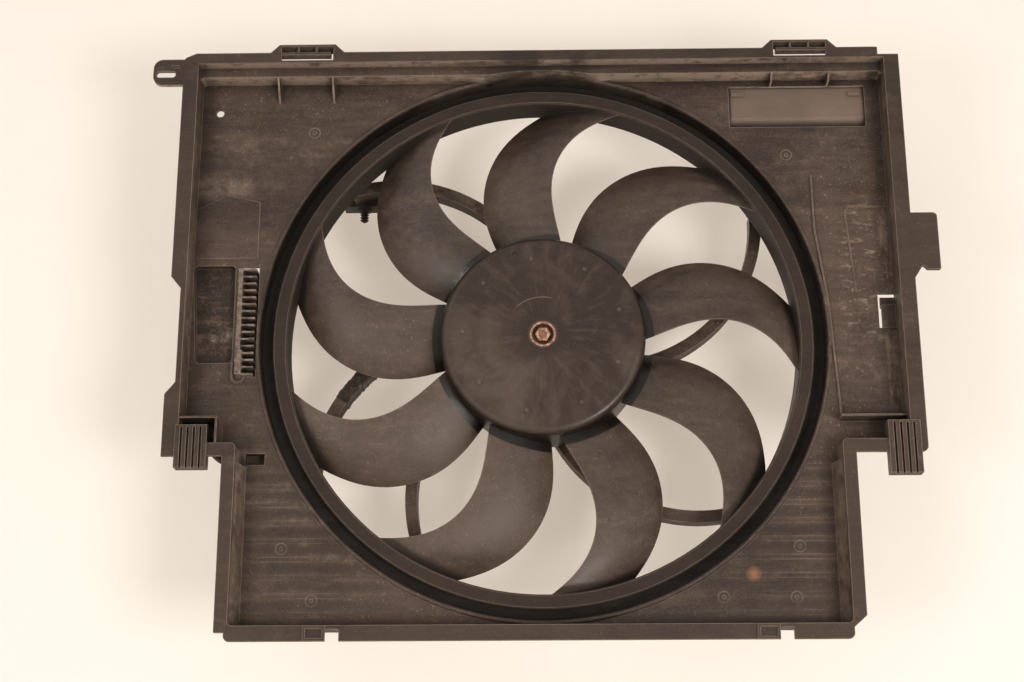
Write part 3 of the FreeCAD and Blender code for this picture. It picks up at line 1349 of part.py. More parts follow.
def connector_place():
    """Left end and bottom of the supply connector, behind the foot of its strut."""
    foot_x, foot_z = strut_line(SUPPLY_STRUT_ANGLE)[0]
    across, up = CONNECTOR_FROM_STRUT
    return foot_x + across, foot_z + up


def lead(name, route):
    """Round lead through a route, straight between points and bent to an arc at each of them."""
    edges = []
    radii = []
    last = route[0]
    for before, corner, after in zip(route, route[1:], route[2:]):
        back = before.sub(corner)
        ahead = after.sub(corner)
        reach = LEAD_BEND_SHARE * min(back.Length, ahead.Length)
        half = back.getAngle(ahead) / 2
        back = back.normalize()
        ahead = ahead.normalize()
        bend = reach * math.tan(half)
        start = corner.add(Vector(back).multiply(reach))
        end = corner.add(Vector(ahead).multiply(reach))
        middle = back.add(ahead).normalize()
        crown = corner.add(Vector(middle).multiply(bend / math.sin(half) - bend))
        edges += [Part.makeLine(last, start), Part.Arc(start, crown, end).toShape()]
        radii.append(round(bend, 1))
        last = end
    edges.append(Part.makeLine(last, route[-1]))
    path = Part.Wire(edges)
    section = Part.Wire(Part.makeCircle(LEAD_RADIUS, route[0], route[1].sub(route[0])))
    body = path.makePipeShell([section], True, False)
    share = body.Volume / (math.pi * LEAD_RADIUS ** 2 * path.Length)
    print(name, "length", round(path.Length, 1), "bend radii", radii, "volume share", round(share, 4))
    return body


def motor_lead():
    return lead("motor_lead", motor_lead_route())


def supply_lead():
    return lead("supply_lead", supply_lead_route())


def lead_grommet():
    """Rubber ring in the side of the can round the motor lead."""
    x, z = polar(1.0, LEAD_EXIT_ANGLE)
    away = Vector(x, 0, z)
    start = at(*polar(MOTOR_RADIUS - MOTOR_WALL, LEAD_EXIT_ANGLE), LEAD_Y)
    flange = Part.makeCylinder(GROMMET_RADIUS, GROMMET_LENGTH + MOTOR_WALL, start, away)
    flange = flange.cut(rod(MOTOR_RADIUS + SEAT, 0, 2 * MOTOR_BACK))
    neck = Part.makeCylinder(grommet_hole() - SEAT, GROMMET_LENGTH, start, away)
    inside = start.sub(Vector(away).multiply(GROMMET_LENGTH))
    bore = Part.makeCylinder(LEAD_RADIUS + SEAT, MOTOR_RADIUS, inside, away)
    return flange.fuse(neck).cut(bore)


def grommet_hole():
    return LEAD_RADIUS + 1.5


def strut_share(angle, shares):
    """Part of a strut's centre line: its ends and its middle, at shares of the way in from the barrel."""
    outer, middle, inner = strut_line(angle)
    arc = Part.Arc(at(*outer), at(*middle), at(*inner)).toShape()
    points = [arc.valueAt(arc.FirstParameter + share * (arc.LastParameter - arc.FirstParameter))
              for share in (shares[0], sum(shares) / 2, shares[1])]
    return [(point.x, point.z) for point in points]


def lead_wrap():
    """Harness tape wound round a strut and the motor lead behind it."""
    start, middle, end = strut_share(WRAPPED_STRUT_ANGLE, WRAP_SHARES)
    back = LEAD_Y + LEAD_RADIUS + LEAD_ABOVE_STRUT
    outside = thicken(band((start, end), middle, STRUT_WIDTH + 2 * WRAP_THICK + 2 * SEAT),
                      STRUT_FRONT - WRAP_THICK - SEAT, back + WRAP_THICK)
    outer, crown, inner = strut_line(WRAPPED_STRUT_ANGLE)
    inside = thicken(band((outer, inner), crown, STRUT_WIDTH + 2 * SEAT), STRUT_FRONT - SEAT, back)
    return outside.cut(inside)


def supply_connector():
    """Block connector behind the outer end of the upper left strut, its mouth to the right."""
    long, deep, tall = CONNECTOR_SIZE
    x, z = connector_place()
    body = box((x, x + long), (CONNECTOR_FRONT, CONNECTOR_FRONT + deep), (z, z + tall))
    mouth = box((x + long - CONNECTOR_MOUTH, x + long + OVER),
                (CONNECTOR_FRONT + SOCKET_WALL, CONNECTOR_FRONT + deep - SOCKET_WALL),
                (z + SOCKET_WALL, z + tall - SOCKET_WALL))
    return body.cut(mouth)


def harness_clip():
    """Fir-tree clip under the connector, for the vehicle's harness."""
    left, bottom = connector_place()
    x = left + CLIP_FROM_END
    y = CONNECTOR_FRONT + CONNECTOR_SIZE[1] / 2
    top = bottom - SEAT
    down = Vector(0, 0, -1)
    flange = Part.makeCylinder(CLIP_FLANGE_RADIUS, SOCKET_WALL, Vector(x, y, top), down)
    length = SOCKET_WALL + CLIP_BARBS * CLIP_BARB_PITCH
    stem = Part.makeCylinder(CLIP_STEM_RADIUS, length, Vector(x, y, top), down)
    first = top - SOCKET_WALL - CLIP_BARB_PITCH + CLIP_BARB_LENGTH
    barbs = [
        Part.makeCone(CLIP_BARB_RADIUS, CLIP_STEM_RADIUS, CLIP_BARB_LENGTH,
                      Vector(x, y, first - index * CLIP_BARB_PITCH), down)
        for index in range(CLIP_BARBS)
    ]
    return flange.fuse([stem] + barbs).removeSplitter()


NODES = {
    "shroud_frame": shroud_frame,
    "fan": fan,
    "fan_nut": fan_nut,
    "motor_shaft": shaft,
    "motor_can": motor_can,
    "motor_end_cap": motor_end_cap,
    "front_bearing": front_bearing,
    "rear_bearing": rear_bearing,
    "field_magnets": field_magnets,
    "armature_core": armature_core,
    "armature_winding": armature_winding,
    "commutator": commutator,
    "brush_plate": brush_plate,
    "brushes": brushes,
    "brush_springs": brush_springs,
    "motor_screws": motor_screws,
    "module_heat_sink": heat_sink,
    "module_housing": module_housing,
    "module_board": module_board,
    "module_screws": module_screws,
    "module_plugs": module_plugs,
    "ram_air_flap": ram_air_flap,
    "flap_hinge_rod": flap_hinge_rod,
    "motor_lead": motor_lead,
    "lead_grommet": lead_grommet,
    "lead_wrap": lead_wrap,
    "supply_lead": supply_lead,
    "supply_connector": supply_connector,
    "harness_clip": harness_clip,
}

os.makedirs("parts", exist_ok=True)
for node, build in NODES.items():
    shape = build()
    shape.exportStep("parts/" + node + ".step")
    state = "valid" if shape.isValid() else "NOT VALID"
    print(node, len(shape.Solids), "solids", round(shape.Volume), "mm3", state)
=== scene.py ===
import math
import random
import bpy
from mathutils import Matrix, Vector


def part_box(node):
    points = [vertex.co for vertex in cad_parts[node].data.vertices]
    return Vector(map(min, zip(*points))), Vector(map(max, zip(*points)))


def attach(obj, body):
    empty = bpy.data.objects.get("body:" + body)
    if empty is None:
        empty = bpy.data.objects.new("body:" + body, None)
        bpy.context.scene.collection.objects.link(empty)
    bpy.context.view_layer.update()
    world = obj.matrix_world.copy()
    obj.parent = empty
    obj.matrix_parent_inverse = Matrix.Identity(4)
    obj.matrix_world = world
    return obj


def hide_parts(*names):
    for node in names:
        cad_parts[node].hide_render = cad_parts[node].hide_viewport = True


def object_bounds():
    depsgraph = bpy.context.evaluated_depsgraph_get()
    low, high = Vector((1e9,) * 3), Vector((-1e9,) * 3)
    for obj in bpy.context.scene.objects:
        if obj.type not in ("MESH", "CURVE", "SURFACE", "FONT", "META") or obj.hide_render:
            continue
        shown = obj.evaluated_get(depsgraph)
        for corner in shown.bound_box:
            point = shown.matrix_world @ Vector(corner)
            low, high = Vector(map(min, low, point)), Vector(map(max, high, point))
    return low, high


bl_info = {
    "name": "Radiator Fan Shroud",
    "version": (1, 0, 0),
    "blender": (4, 5, 0),
    "location": "3D View > Sidebar > Shroud",
    "description": "Finishes and fine detail for a radiator fan shroud, on its CAD frame",
    "category": "Object",
}

import bmesh
import bpy
from mathutils import Matrix, Vector

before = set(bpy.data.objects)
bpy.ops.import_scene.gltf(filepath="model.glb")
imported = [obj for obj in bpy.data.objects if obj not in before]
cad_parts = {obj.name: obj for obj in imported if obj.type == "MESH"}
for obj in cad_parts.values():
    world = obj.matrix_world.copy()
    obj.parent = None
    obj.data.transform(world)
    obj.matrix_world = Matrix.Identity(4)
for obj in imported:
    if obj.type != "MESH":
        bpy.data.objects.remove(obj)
CAD_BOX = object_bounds()
FRONT, BACK = Vector((0, -1, 0)), Vector((0, 1, 0))

# Places on the solids, in metres: X to the right, Y to the back and Z up from the fan's axis.
PANEL_FRONT = 0.027
PANEL_FACE = (0.0262, 0.0276)  # just before and just behind the panel's front
POCKET_FACE = (0.0343, 0.0357)
WALL_DEPTHS = (0.001, 0.027)  # of the side walls, in front of the panel
FLAP_OPENING = ((0.176, 0.3025), (0.202, 0.243))  # its sides, and its lower and upper edge
TICKS = ((0.276, 0.316), (0.0, 0.122))
RUBBED_LINE = ((0.3085, 0.3145), (-0.062, 0.113))
POCKET_SCUFF = ((-0.300, -0.281), (-0.001, 0.011))
RUST_SPOT = (0.1795, -0.2157)
LOWEST_RIB, RIB_PITCH = -0.2555, 0.016  # of the ribs behind the lower panels
GAP_RADII, GAP_DEPTHS = (0.2378, 0.2548), (0.0125, 0.0462)  # of the gap round the fan's ring
HUB_EDGE = (0.1010, 0.1006)  # radii over which the hub's own colour sets in
PALE_EDGE = 0.0013  # how far in from an edge the plastics are pale, partly from wear and partly as a painted highlight


# ---- Settings that a user would change ----

def colour(name, description, default):
    """A linear colour setting."""
    return bpy.props.FloatVectorProperty(
        name=name, description=description, default=default, subtype="COLOR", size=3, min=0.0, max=1.0)


def length(name, description, default):
    """A length setting in metres."""
    return bpy.props.FloatProperty(
        name=name, description=description, default=default, subtype="DISTANCE", unit="LENGTH", min=0.0)


def lamp_power(name, description, default):
    """A lamp's power in watts."""
    return bpy.props.FloatProperty(
        name=name, description=description, default=default, min=0.0, unit="POWER")


def light_strength(name, description, default):
    """A strength of the even light."""
    return bpy.props.FloatProperty(name=name, description=description, default=default, min=0.0)


def share_of(name, description, default):
    """A share from 0 to 1."""
    return bpy.props.FloatProperty(
        name=name, description=description, default=default, min=0.0, max=1.0, subtype="FACTOR")


class ShroudStageSettings(bpy.types.PropertyGroup):
    """Backdrop and lamps."""

    backdrop: colour("Backdrop", "Colour of the paper behind the part", (0.96, 0.95, 0.94))
    backdrop_glow: share_of("Backdrop glow", "Share of the paper that shadows leave alone", 0.35)
    floor_drop: length("Floor drop", "How far below the part the floor lies", 1.2)
    backdrop_gap: length("Backdrop gap", "How far behind the motor the paper stands", 0.03)
    ambient: light_strength("Ambient", "Strength of the even light from all round", 0.46)
    surround: light_strength("Surround", "How bright the room is where no paper stands", 0.88)
    key: lamp_power("Key lamp", "Power of the soft lamp at the lower right", 14.5)
    side: lamp_power("Side lamp", "Power of the soft lamp at the lower left", 6.0)
    fill: lamp_power("Fill lamp", "Power of the soft lamp at the upper left", 3.2)
    rear: lamp_power("Rear lamp", "Power of the soft lamp behind the paper", 17.0)


class ShroudFinishSettings(bpy.types.PropertyGroup):
    """Colours of the moulded plastics and of the dirt on them."""

    frame_plastic: colour("Frame plastic", "Moulded frame without dust", (0.040, 0.024, 0.017))
    fan_plastic: colour("Fan plastic", "Moulded fan without dust", (0.048, 0.031, 0.023))
    flap_plastic: colour("Flap plastic", "Moulded flap", (0.275, 0.200, 0.158))
    black_plastic: colour("Black plastic", "Module, plugs and connector", (0.020, 0.017, 0.015))
    film: colour("Film", "Thin road film over the plastics", (0.138, 0.096, 0.073))
    dust: colour("Dust", "Dried dust where it lies thick", (0.34, 0.255, 0.195))
    rust: colour("Rust", "Rust on the nut and stains on the frame", (0.34, 0.15, 0.075))


class ShroudDetailSettings(bpy.types.PropertyGroup):
    """Sizes of the pieces that are added to the solids."""

    lead_radius: length("Lead radius", "Outer radius of both leads", 0.0035)
    tape_width: length("Tape width", "Width of the harness tape", 0.0095)
    tape_turns: bpy.props.IntProperty(
        name="Tape turns", description="Turns of tape on the strut", default=11, min=2)
    mark_radius: length("Mark radius", "Radius of the round ejector marks on the panel", 0.0055)
    sink_wear: length("Sink wear", "How deep the cast heat sink is eaten away", 0.0009)


# ---- Material nodes ----

class Tree:
    """Short calls for the nodes that the finishes are made of."""

    def __init__(self, name):
        self.material = bpy.data.materials.new(name + "_finish")
        self.material.use_nodes = True
        self.nodes = self.material.node_tree.nodes
        self.nodes.clear()
        self.link = self.material.node_tree.links.new
        self.shader = self.node("BsdfPrincipled")
        self.output = self.node("OutputMaterial")
        self.link(self.shader.outputs[0], self.output.inputs[0])
        self.place = self.node("TexCoord").outputs["Object"]

    def put(self, socket, value):
        """Links a socket or sets a number; None leaves the socket as it is."""
        if isinstance(value, bpy.types.NodeSocket):
            self.link(value, socket)
        elif value is not None:
            socket.default_value = value

    def node(self, kind, **values):
        """Adds a node and fills its inputs by their names."""
        node = self.nodes.new("ShaderNode" + kind)
        for name, value in values.items():
            self.put(node.inputs[name.replace("_", " ")], value)
        return node

    def math(self, operation, a, b=None, clamp=False):
        node = self.node("Math")
        node.operation = operation
        node.use_clamp = clamp
        for socket, value in zip(node.inputs, (a, b)):
            self.put(socket, value)
        return node.outputs[0]

    def add(self, *values):
        total, *others = values
        for value in others:
            total = self.math("ADD", total, value)
        return total

    def times(self, *values):
        product, *others = values
        for value in others:
            product = self.math("MULTIPLY", product, value)
        return product

    def scaled(self, factors, turn=(0.0, 0.0, 0.0)):
        """Object coordinates, turned and stretched."""
        return self.node("Mapping", Vector=self.place, Scale=factors, Rotation=turn).outputs[0]

    def noise(self, scale, detail=3.0, roughness=0.55, vector=None, distortion=0.0):
        return self.node(
            "TexNoise", Vector=vector or self.place, Scale=scale, Detail=detail, Roughness=roughness,
            Distortion=distortion).outputs[0]

    def between(self, value, low, high, to_low=0.0, to_high=1.0):
        """0 at the low end and 1 at the high end, or two other numbers."""
        return self.node(
            "MapRange", Value=value, From_Min=low, From_Max=high, To_Min=to_low,
            To_Max=to_high).outputs[0]

    def inside(self, value, low, high, soft):
        """1 where the value lies between two limits, with soft ends."""
        return self.times(
            self.between(value, low - soft, low), self.between(value, high + soft, high))

    def patch(self, place, soft_across, soft_up):
        """1 in an upright rectangle, given as its sides and its lower and upper edge."""
        x, _, z = self.split()
        across, up = place
        return self.times(self.inside(x, *across, soft_across), self.inside(z, *up, soft_up))

    def mix(self, share, first, second):
        node = self.node("Mix")
        node.data_type = "RGBA"
        self.put(node.inputs[0], share)
        for socket, value in ((node.inputs[6], first), (node.inputs[7], second)):
            self.put(socket, (*value, 1.0) if isinstance(value, tuple) and len(value) == 3 else value)
        return node.outputs[2]

    def lay(self, shade, coat, *shares):
        """The shade with a colour laid over it, as thick as the product of the shares."""
        return self.mix(self.times(*shares), shade, coat)

    def split(self, vector=None):
        return self.node("SeparateXYZ", Vector=vector or self.place).outputs

    def normal(self):
        return self.node("NewGeometry").outputs["Normal"]

    def rounded(self, radius):
        """Normals with the edges softened over a radius."""
        node = self.node("Bevel", Radius=radius)
        node.samples = 4
        return node.outputs[0]

    def edges(self, radius):
        """1 along the edges and 0 on the flats."""
        node = self.node("VectorMath")
        node.operation = "DOT_PRODUCT"
        self.link(self.rounded(radius), node.inputs[0])
        self.link(self.normal(), node.inputs[1])
        return self.between(node.outputs["Value"], 0.985, 0.86)

    def openness(self, distance):
        """1 in the open, falling towards 0 in corners and gaps."""
        node = self.node("AmbientOcclusion", Distance=distance)
        node.samples = 4
        node.only_local = True
        return node.outputs["AO"]

    def bump(self, height, distance, strength, under=None):
        return self.node(
            "Bump", Height=height, Distance=distance, Strength=strength, Normal=under).outputs[0]

    def distance(self, across=0.0, up=0.0):
        """Distance in the panel's plane from a point, or from the fan's axis."""
        x, _, z = self.split()
        x, z = self.math("SUBTRACT", x, across), self.math("SUBTRACT", z, up)
        return self.math("SQRT", self.add(self.times(x, x), self.times(z, z)))

    def finish(self, base, roughness, normal=None, **constants):
        """Sets the shader and gives the material."""
        self.put(self.shader.inputs["Base Color"], (*base, 1.0) if isinstance(base, tuple) else base)
        self.put(self.shader.inputs["Roughness"], roughness)
        self.put(self.shader.inputs["Normal"], normal)
        for name, value in constants.items():
            self.shader.inputs[name.replace("_", " ")].default_value = value
        return self.material


def darker(shade, factor):
    return tuple(channel * factor for channel in shade)


class Dirt:
    """Film and dust colours, shared by the finishes."""

    def __init__(self, settings):
        self.film = tuple(settings.film)
        self.dust = tuple(settings.dust)


def moulded(tree, base, dirt, film, dust, edge, extra=None):
    """Colour, dirt share and normal of matt moulded plastic with film, dust, specks and pale edges that
    are partly wear, partly painted highlight.
    """
    patches = tree.noise(6.5, 5.0, 0.62)
    smears = tree.noise(15.0, 5.0, 0.7, tree.scaled((0.35, 1.0, 1.6)), 0.5)
    fibres = tree.noise(170.0, 4.0, 0.7, tree.scaled((0.14, 1.0, 1.0)))
    fine = tree.noise(95.0, 5.0, 0.72)
    grain = tree.noise(620.0, 3.0, 0.75)
    specks = tree.between(tree.noise(420.0, 2.0, 0.6), 0.64, 0.72)
    film_share = tree.times(
        tree.between(tree.add(patches, smears, tree.times(fine, 0.6)), 1.16, 1.62), film)
    for texture, least, share in ((fibres, 0.46, 0.35), (grain, 0.44, 0.5)):
        more = tree.times(tree.between(texture, least, 0.66), film, share)
        film_share = tree.math("ADD", film_share, more, clamp=True)
    dust_and_light_share = tree.times(tree.between(tree.add(smears, tree.times(fine, 0.9)), 1.06, 1.42), dust)
    specks = tree.times(specks, tree.between(patches, 0.40, 0.56), dust, 1.4)
    # Pale edges: partly wear, partly a painted highlight along the rims.
    worn_and_highlit_edges = tree.times(
        tree.edges(PALE_EDGE), tree.between(tree.noise(34.0, 5.0, 0.75), 0.24, 0.48), edge)
    for share in (specks, worn_and_highlit_edges):
        dust_and_light_share = tree.math("MAXIMUM", dust_and_light_share, share)
    if extra:
        extra = tree.times(extra, tree.between(fine, 0.3, 0.62))
        dust_and_light_share = tree.math("ADD", dust_and_light_share, extra, clamp=True)
    shade = tree.mix(tree.between(patches, 0.3, 0.7), darker(base, 0.5), darker(base, 1.1))
    shade = tree.mix(film_share, shade, dirt.film)
    shade = tree.mix(dust_and_light_share, shade, dirt.dust)
    normal = tree.bump(tree.noise(1500.0, 2.0, 0.6), 0.00016, 0.5, tree.rounded(0.0006))
    return shade, tree.math("MAXIMUM", film_share, dust_and_light_share), normal


def shade_and_grime_in_corners(tree, shade, distance, least):
    """The colour, darkened where corners and gaps keep the light and the wiping cloth out: painted shade
    and grime in one.
    """
    share = tree.between(tree.openness(distance), 0.35, 0.9, 1.0 - least, 0.0)
    return tree.mix(share, shade, (0.004, 0.003, 0.002))


def frame_finish(settings):
    """Frame plastic: dusty walls, dust and painted light under the top, bands over the ribs, a rust
    spot, and painted shade in the pocket and round the fan.
    """
    tree = Tree("frame_plastic")
    base, dirt = tuple(settings.frame_plastic), Dirt(settings)
    x, y, z = tree.split()
    across = tree.math("ABSOLUTE", x)
    facing_x, facing_y, facing_z = tree.split(tree.normal())
    on_panel = tree.times(tree.inside(y, *PANEL_FACE, 0.0002), tree.between(facing_y, -0.9, -0.98))
    pocket = tree.times(tree.inside(y, *POCKET_FACE, 0.0003), tree.between(x, -0.25, -0.262))

    # Dust on the inner side walls, in the scuffs and on the upper left ledge, and under the top dust
    # with painted light from below.
    inner_wall = tree.times(
        tree.between(tree.math("ABSOLUTE", facing_x), 0.55, 0.8), tree.between(across, 0.24, 0.25),
        tree.inside(y, *WALL_DEPTHS, 0.001))
    runs = tree.between(tree.noise(30.0, 5.0, 0.7, tree.scaled((1.0, 1.0, 0.12))), 0.38, 0.62)
    # Pale under the top: dust, and painted light from below.
    dust_and_light_under_top = tree.times(tree.between(facing_z, -0.5, -0.8), tree.between(z, 0.225, 0.235))
    streaks = tree.between(tree.noise(26.0, 5.0, 0.7, tree.scaled((0.3, 1.0, 3.0))), 0.36, 0.56)
    ticks = tree.times(
        tree.patch(TICKS, 0.010, 0.015),
        tree.between(tree.noise(110.0, 5.0, 0.7, tree.scaled((0.45, 1.0, 1.6))), 0.54, 0.64))
    rubbed = tree.times(
        tree.patch(RUBBED_LINE, 0.003, 0.02),
        tree.between(tree.noise(70.0, 5.0, 0.75, tree.scaled((1.6, 1.0, 0.35))), 0.42, 0.58))
    scuffs = tree.times(on_panel, tree.math("MAXIMUM", ticks, rubbed))
    pocket_scuff = tree.times(pocket, tree.patch(POCKET_SCUFF, 0.004, 0.002))
    ledge = tree.times(on_panel, tree.inside(z, 0.140, 0.150, 0.010), tree.between(x, -0.262, -0.275))
    extra = tree.add(
        tree.times(inner_wall, runs, 0.5), tree.times(dust_and_light_under_top, tree.add(streaks, 0.25), 1.7),
        tree.times(scuffs, 0.8), tree.times(pocket_scuff, 0.7), tree.times(ledge, 0.3))
    shade, share, normal = moulded(tree, base, dirt, 0.62, 0.38, 0.9, extra)
    rim = tree.times(tree.between(y, 0.0012, 0.0008), tree.between(tree.edges(PALE_EDGE), 0.4, 0.1))
    shade = tree.lay(shade, darker(base, 0.6), rim, 0.42)

    # Sink marks over the ribs behind the lower panels, and the pale lines beside them.
    height = tree.add(z, -LOWEST_RIB, tree.times(tree.noise(11.0), 0.003))
    from_rib = tree.math("PINGPONG", height, RIB_PITCH / 2)
    lower = tree.times(on_panel, tree.between(z, -0.106, -0.116), tree.between(across, 0.115, 0.175))
    sink = tree.times(
        lower, tree.between(from_rib, 0.0050, 0.0018),
        tree.between(tree.noise(9.0, 5.0, 0.7), 0.30, 0.55))
    line = tree.times(
        lower, tree.inside(from_rib, 0.0058, 0.0060, 0.0005),
        tree.between(tree.noise(16.0, 4.0, 0.65), 0.44, 0.66))
    shade = tree.lay(shade, darker(base, 0.5), sink, 0.42)
    shade = tree.lay(shade, dirt.dust, line, 0.30)

    # Rust spot, painted shade in the pocket and in the gap round the fan, and stain on the top wall.
    rust_spot = tree.times(on_panel, tree.between(tree.distance(*RUST_SPOT), 0.0075, 0.001))
    shade = tree.lay(shade, tuple(settings.rust), rust_spot, 0.75)
    # Painted shade on the pocket's floor, darkest where little dust lies.
    shade = tree.lay(shade, darker(base, 0.4), pocket, tree.between(share, 0.7, 0.3), 0.8)
    # Painted shade deep in the gap round the fan, darker the deeper it lies.
    gap = tree.times(
        tree.inside(tree.distance(), *GAP_RADII, 0.0012), tree.inside(y, *GAP_DEPTHS, 0.002))
    shade = tree.lay(shade, darker(base, 0.16), gap, tree.between(y, 0.015, 0.030, 0.35, 0.92))
    stain = tree.times(
        tree.inside(x, -0.028, 0.036, 0.02), tree.between(z, 0.222, 0.230),
        tree.between(tree.noise(28.0, 4.0, 0.6), 0.40, 0.52))
    shade = tree.lay(shade, darker(base, 0.35), stain, 0.7)
    shade = shade_and_grime_in_corners(tree, shade, 0.02, 0.35)
    normal = tree.bump(sink, 0.0004, -0.15, normal)
    return tree.finish(shade, tree.between(share, 0.0, 0.6, 0.42, 0.8), normal, Specular_IOR_Level=0.32)


def fan_finish(settings):
    """Fan plastic: cloudy and scrubbed hub with pale pips, and film along the ring and the blades."""
    tree = Tree("fan_plastic")
    base, dirt = tuple(settings.fan_plastic), Dirt(settings)
    haze, hub_brown = (0.150, 0.106, 0.083), (0.023, 0.0125, 0.0075)
    x, y, z = tree.split()
    radius, turn = tree.distance(), tree.math("ARCTAN2", x, z)

    # The hub: clouds, marks scrubbed outwards from the nut, pips and one short scratch.
    hub = tree.times(
        tree.between(radius, 0.094, 0.080), tree.between(radius, 0.016, 0.024),
        tree.between(y, 0.0240, 0.0225))
    clouds = tree.times(hub, tree.between(tree.noise(17.0, 5.0, 0.6, None, 0.8), 0.46, 0.66))
    outwards = tree.node(
        "CombineXYZ", X=tree.times(tree.math("COSINE", turn), 2.6),
        Y=tree.times(tree.math("SINE", turn), 2.6), Z=tree.times(radius, 14.0)).outputs[0]
    scrubbed = tree.times(hub, tree.between(tree.noise(3.4, 6.0, 0.72, outwards), 0.50, 0.68))
    pips = tree.times(tree.between(y, 0.0209, 0.0206), tree.between(radius, 0.060, 0.062))
    scratch = tree.times(
        tree.inside(radius, 0.0345, 0.0351, 0.0003), tree.inside(x, -0.022, 0.006, 0.004),
        tree.between(z, 0.0, 0.01), hub)
    shade, share, normal = moulded(tree, base, dirt, 0.46, 0.22, 0.6)
    shade = tree.lay(shade, hub_brown, tree.between(radius, *HUB_EDGE), 0.84)
    shade = tree.lay(shade, haze, clouds, 0.36)
    shade = tree.lay(shade, haze, scrubbed, 0.24)
    shade = tree.lay(shade, dirt.dust, pips, 0.14)
    shade = tree.lay(shade, dirt.dust, scratch, 0.3)

    # Dark places: the ring's flats, painted shade on its lips deep in the gap and inside the hub, and
    # rust run out from the nut.
    ring = tree.times(tree.between(radius, 0.222, 0.226), tree.between(tree.edges(PALE_EDGE), 0.5, 0.1))
    shade = tree.lay(shade, darker(base, 0.42), ring, 0.72)
    # Painted shade on the ring's lips deep in the gap round it.
    inner_lip_shade = tree.times(tree.inside(radius, 0.2310, 0.2445, 0.002), tree.between(y, 0.0385, 0.0400))
    shade = tree.lay(shade, darker(base, 0.4), inner_lip_shade, 0.5)
    outer_lip_shade = tree.times(tree.between(radius, 0.2434, 0.2440), tree.between(y, 0.0332, 0.0345))
    shade = tree.lay(shade, darker(base, 0.18), outer_lip_shade, 0.9)
    # Painted shade inside the hub.
    inside_hub_shade = tree.times(tree.between(radius, 0.1004, 0.1000), tree.between(y, 0.0242, 0.0250))
    shade = tree.lay(shade, darker(base, 0.12), inside_hub_shade, 0.9)
    stain = tree.times(tree.inside(radius, 0.0118, 0.0126, 0.0012), tree.between(y, 0.0230, 0.0215))
    shade = tree.lay(shade, darker(tuple(settings.rust), 0.4), stain, 0.35)
    shade = shade_and_grime_in_corners(tree, shade, 0.012, 0.45)
    roughness = tree.between(tree.add(share, tree.times(clouds, 0.2)), 0.0, 0.7, 0.30, 0.62)
    roughness = tree.times(roughness, tree.between(radius, *HUB_EDGE, 1.0, 0.80))
    roughness = tree.math("MAXIMUM", roughness, tree.between(radius, 0.220, 0.226, 0.0, 0.85))
    return tree.finish(shade, roughness, normal, Specular_IOR_Level=0.36)


def flap_finish(settings):
    """Flap plastic: painted shade that leaves it lighter low on its face, and painted shadow along the
    edges of its opening.
    """
    tree = Tree("flap_plastic")
    base, dirt = tuple(settings.flap_plastic), Dirt(settings)
    x, _, z = tree.split()
    shade, share, normal = moulded(tree, base, dirt, 0.40, 0.22, 0.5)
    # Painted shade: darker towards the top of the flap's face, lighter low.
    shade = tree.mix(tree.between(z, 0.212, 0.236, 0.0, 0.45), shade, darker(base, 0.5))
    (left, right), (bottom, top) = FLAP_OPENING
    # Painted shadow along the edges of the opening, widest at the bottom.
    out_of_edge_shadow = tree.times(
        tree.between(z, bottom + 0.0064, bottom + 0.0100), tree.between(z, top + 0.0012, top - 0.0004),
        tree.between(x, left + 0.0012, left + 0.0032), tree.between(x, right + 0.0003, right - 0.0012))
    shade = tree.mix(tree.between(out_of_edge_shadow, 0.0, 1.0, 0.88, 0.0), shade, darker(base, 0.06))
    shade = shade_and_grime_in_corners(tree, shade, 0.006, 0.4)
    return tree.finish(shade, tree.between(share, 0.0, 0.6, 0.45, 0.75), normal, Specular_IOR_Level=0.35)


def plain_plastic(name, base, dirt, film, roughness):
    """Small moulded or coated piece with a little film."""
    tree = Tree(name)
    shade, share, normal = moulded(tree, base, dirt, film, film * 0.5, film)
    shade = shade_and_grime_in_corners(tree, shade, 0.008, 0.4)
    return tree.finish(
        shade, tree.between(share, 0.0, 0.6, roughness, 0.82), normal, Specular_IOR_Level=0.35)


def metal(name, bright, dull, scale, roughness, stretch=(1.0, 1.0, 1.0)):
    """Bare or plated metal, patchy with wear and brighter along its edges."""
    tree = Tree(name)
    wear = tree.noise(scale, 5.0, 0.65, tree.scaled(stretch))
    shade = tree.mix(tree.between(wear, 0.35, 0.65), dull, bright)
    shade = tree.lay(shade, bright, tree.edges(0.0006), 0.5)
    normal = tree.bump(wear, 0.0002, 0.5, tree.rounded(0.0003))
    return tree.finish(
        shade, tree.between(wear, 0.3, 0.7, roughness + 0.15, roughness), normal, Metallic=1.0)


def rusty(settings):
    """Nut and cup of plated steel gone rusty, pale on the faces that a socket has rubbed."""
    tree = Tree("nut_rust")
    rust = tuple(settings.rust)
    _, y, _ = tree.split()
    wear = tree.noise(260.0, 5.0, 0.75)
    pale = tree.mix(tree.between(wear, 0.40, 0.60), (0.22, 0.105, 0.065), (0.56, 0.37, 0.28))
    deep = tree.mix(tree.between(wear, 0.35, 0.65), darker(rust, 0.10), darker(rust, 0.38))
    shade = tree.mix(tree.between(y, 0.0232, 0.0222), deep, pale)
    flange = tree.inside(tree.distance(), 0.0085, 0.0100, 0.0004)
    shade = tree.lay(shade, darker(rust, 0.25), flange, 0.6)
    normal = tree.bump(wear, 0.0002, 0.6, tree.rounded(0.0003))
    return tree.finish(shade, tree.between(wear, 0.3, 0.7, 0.78, 0.5), normal, Metallic=0.35)


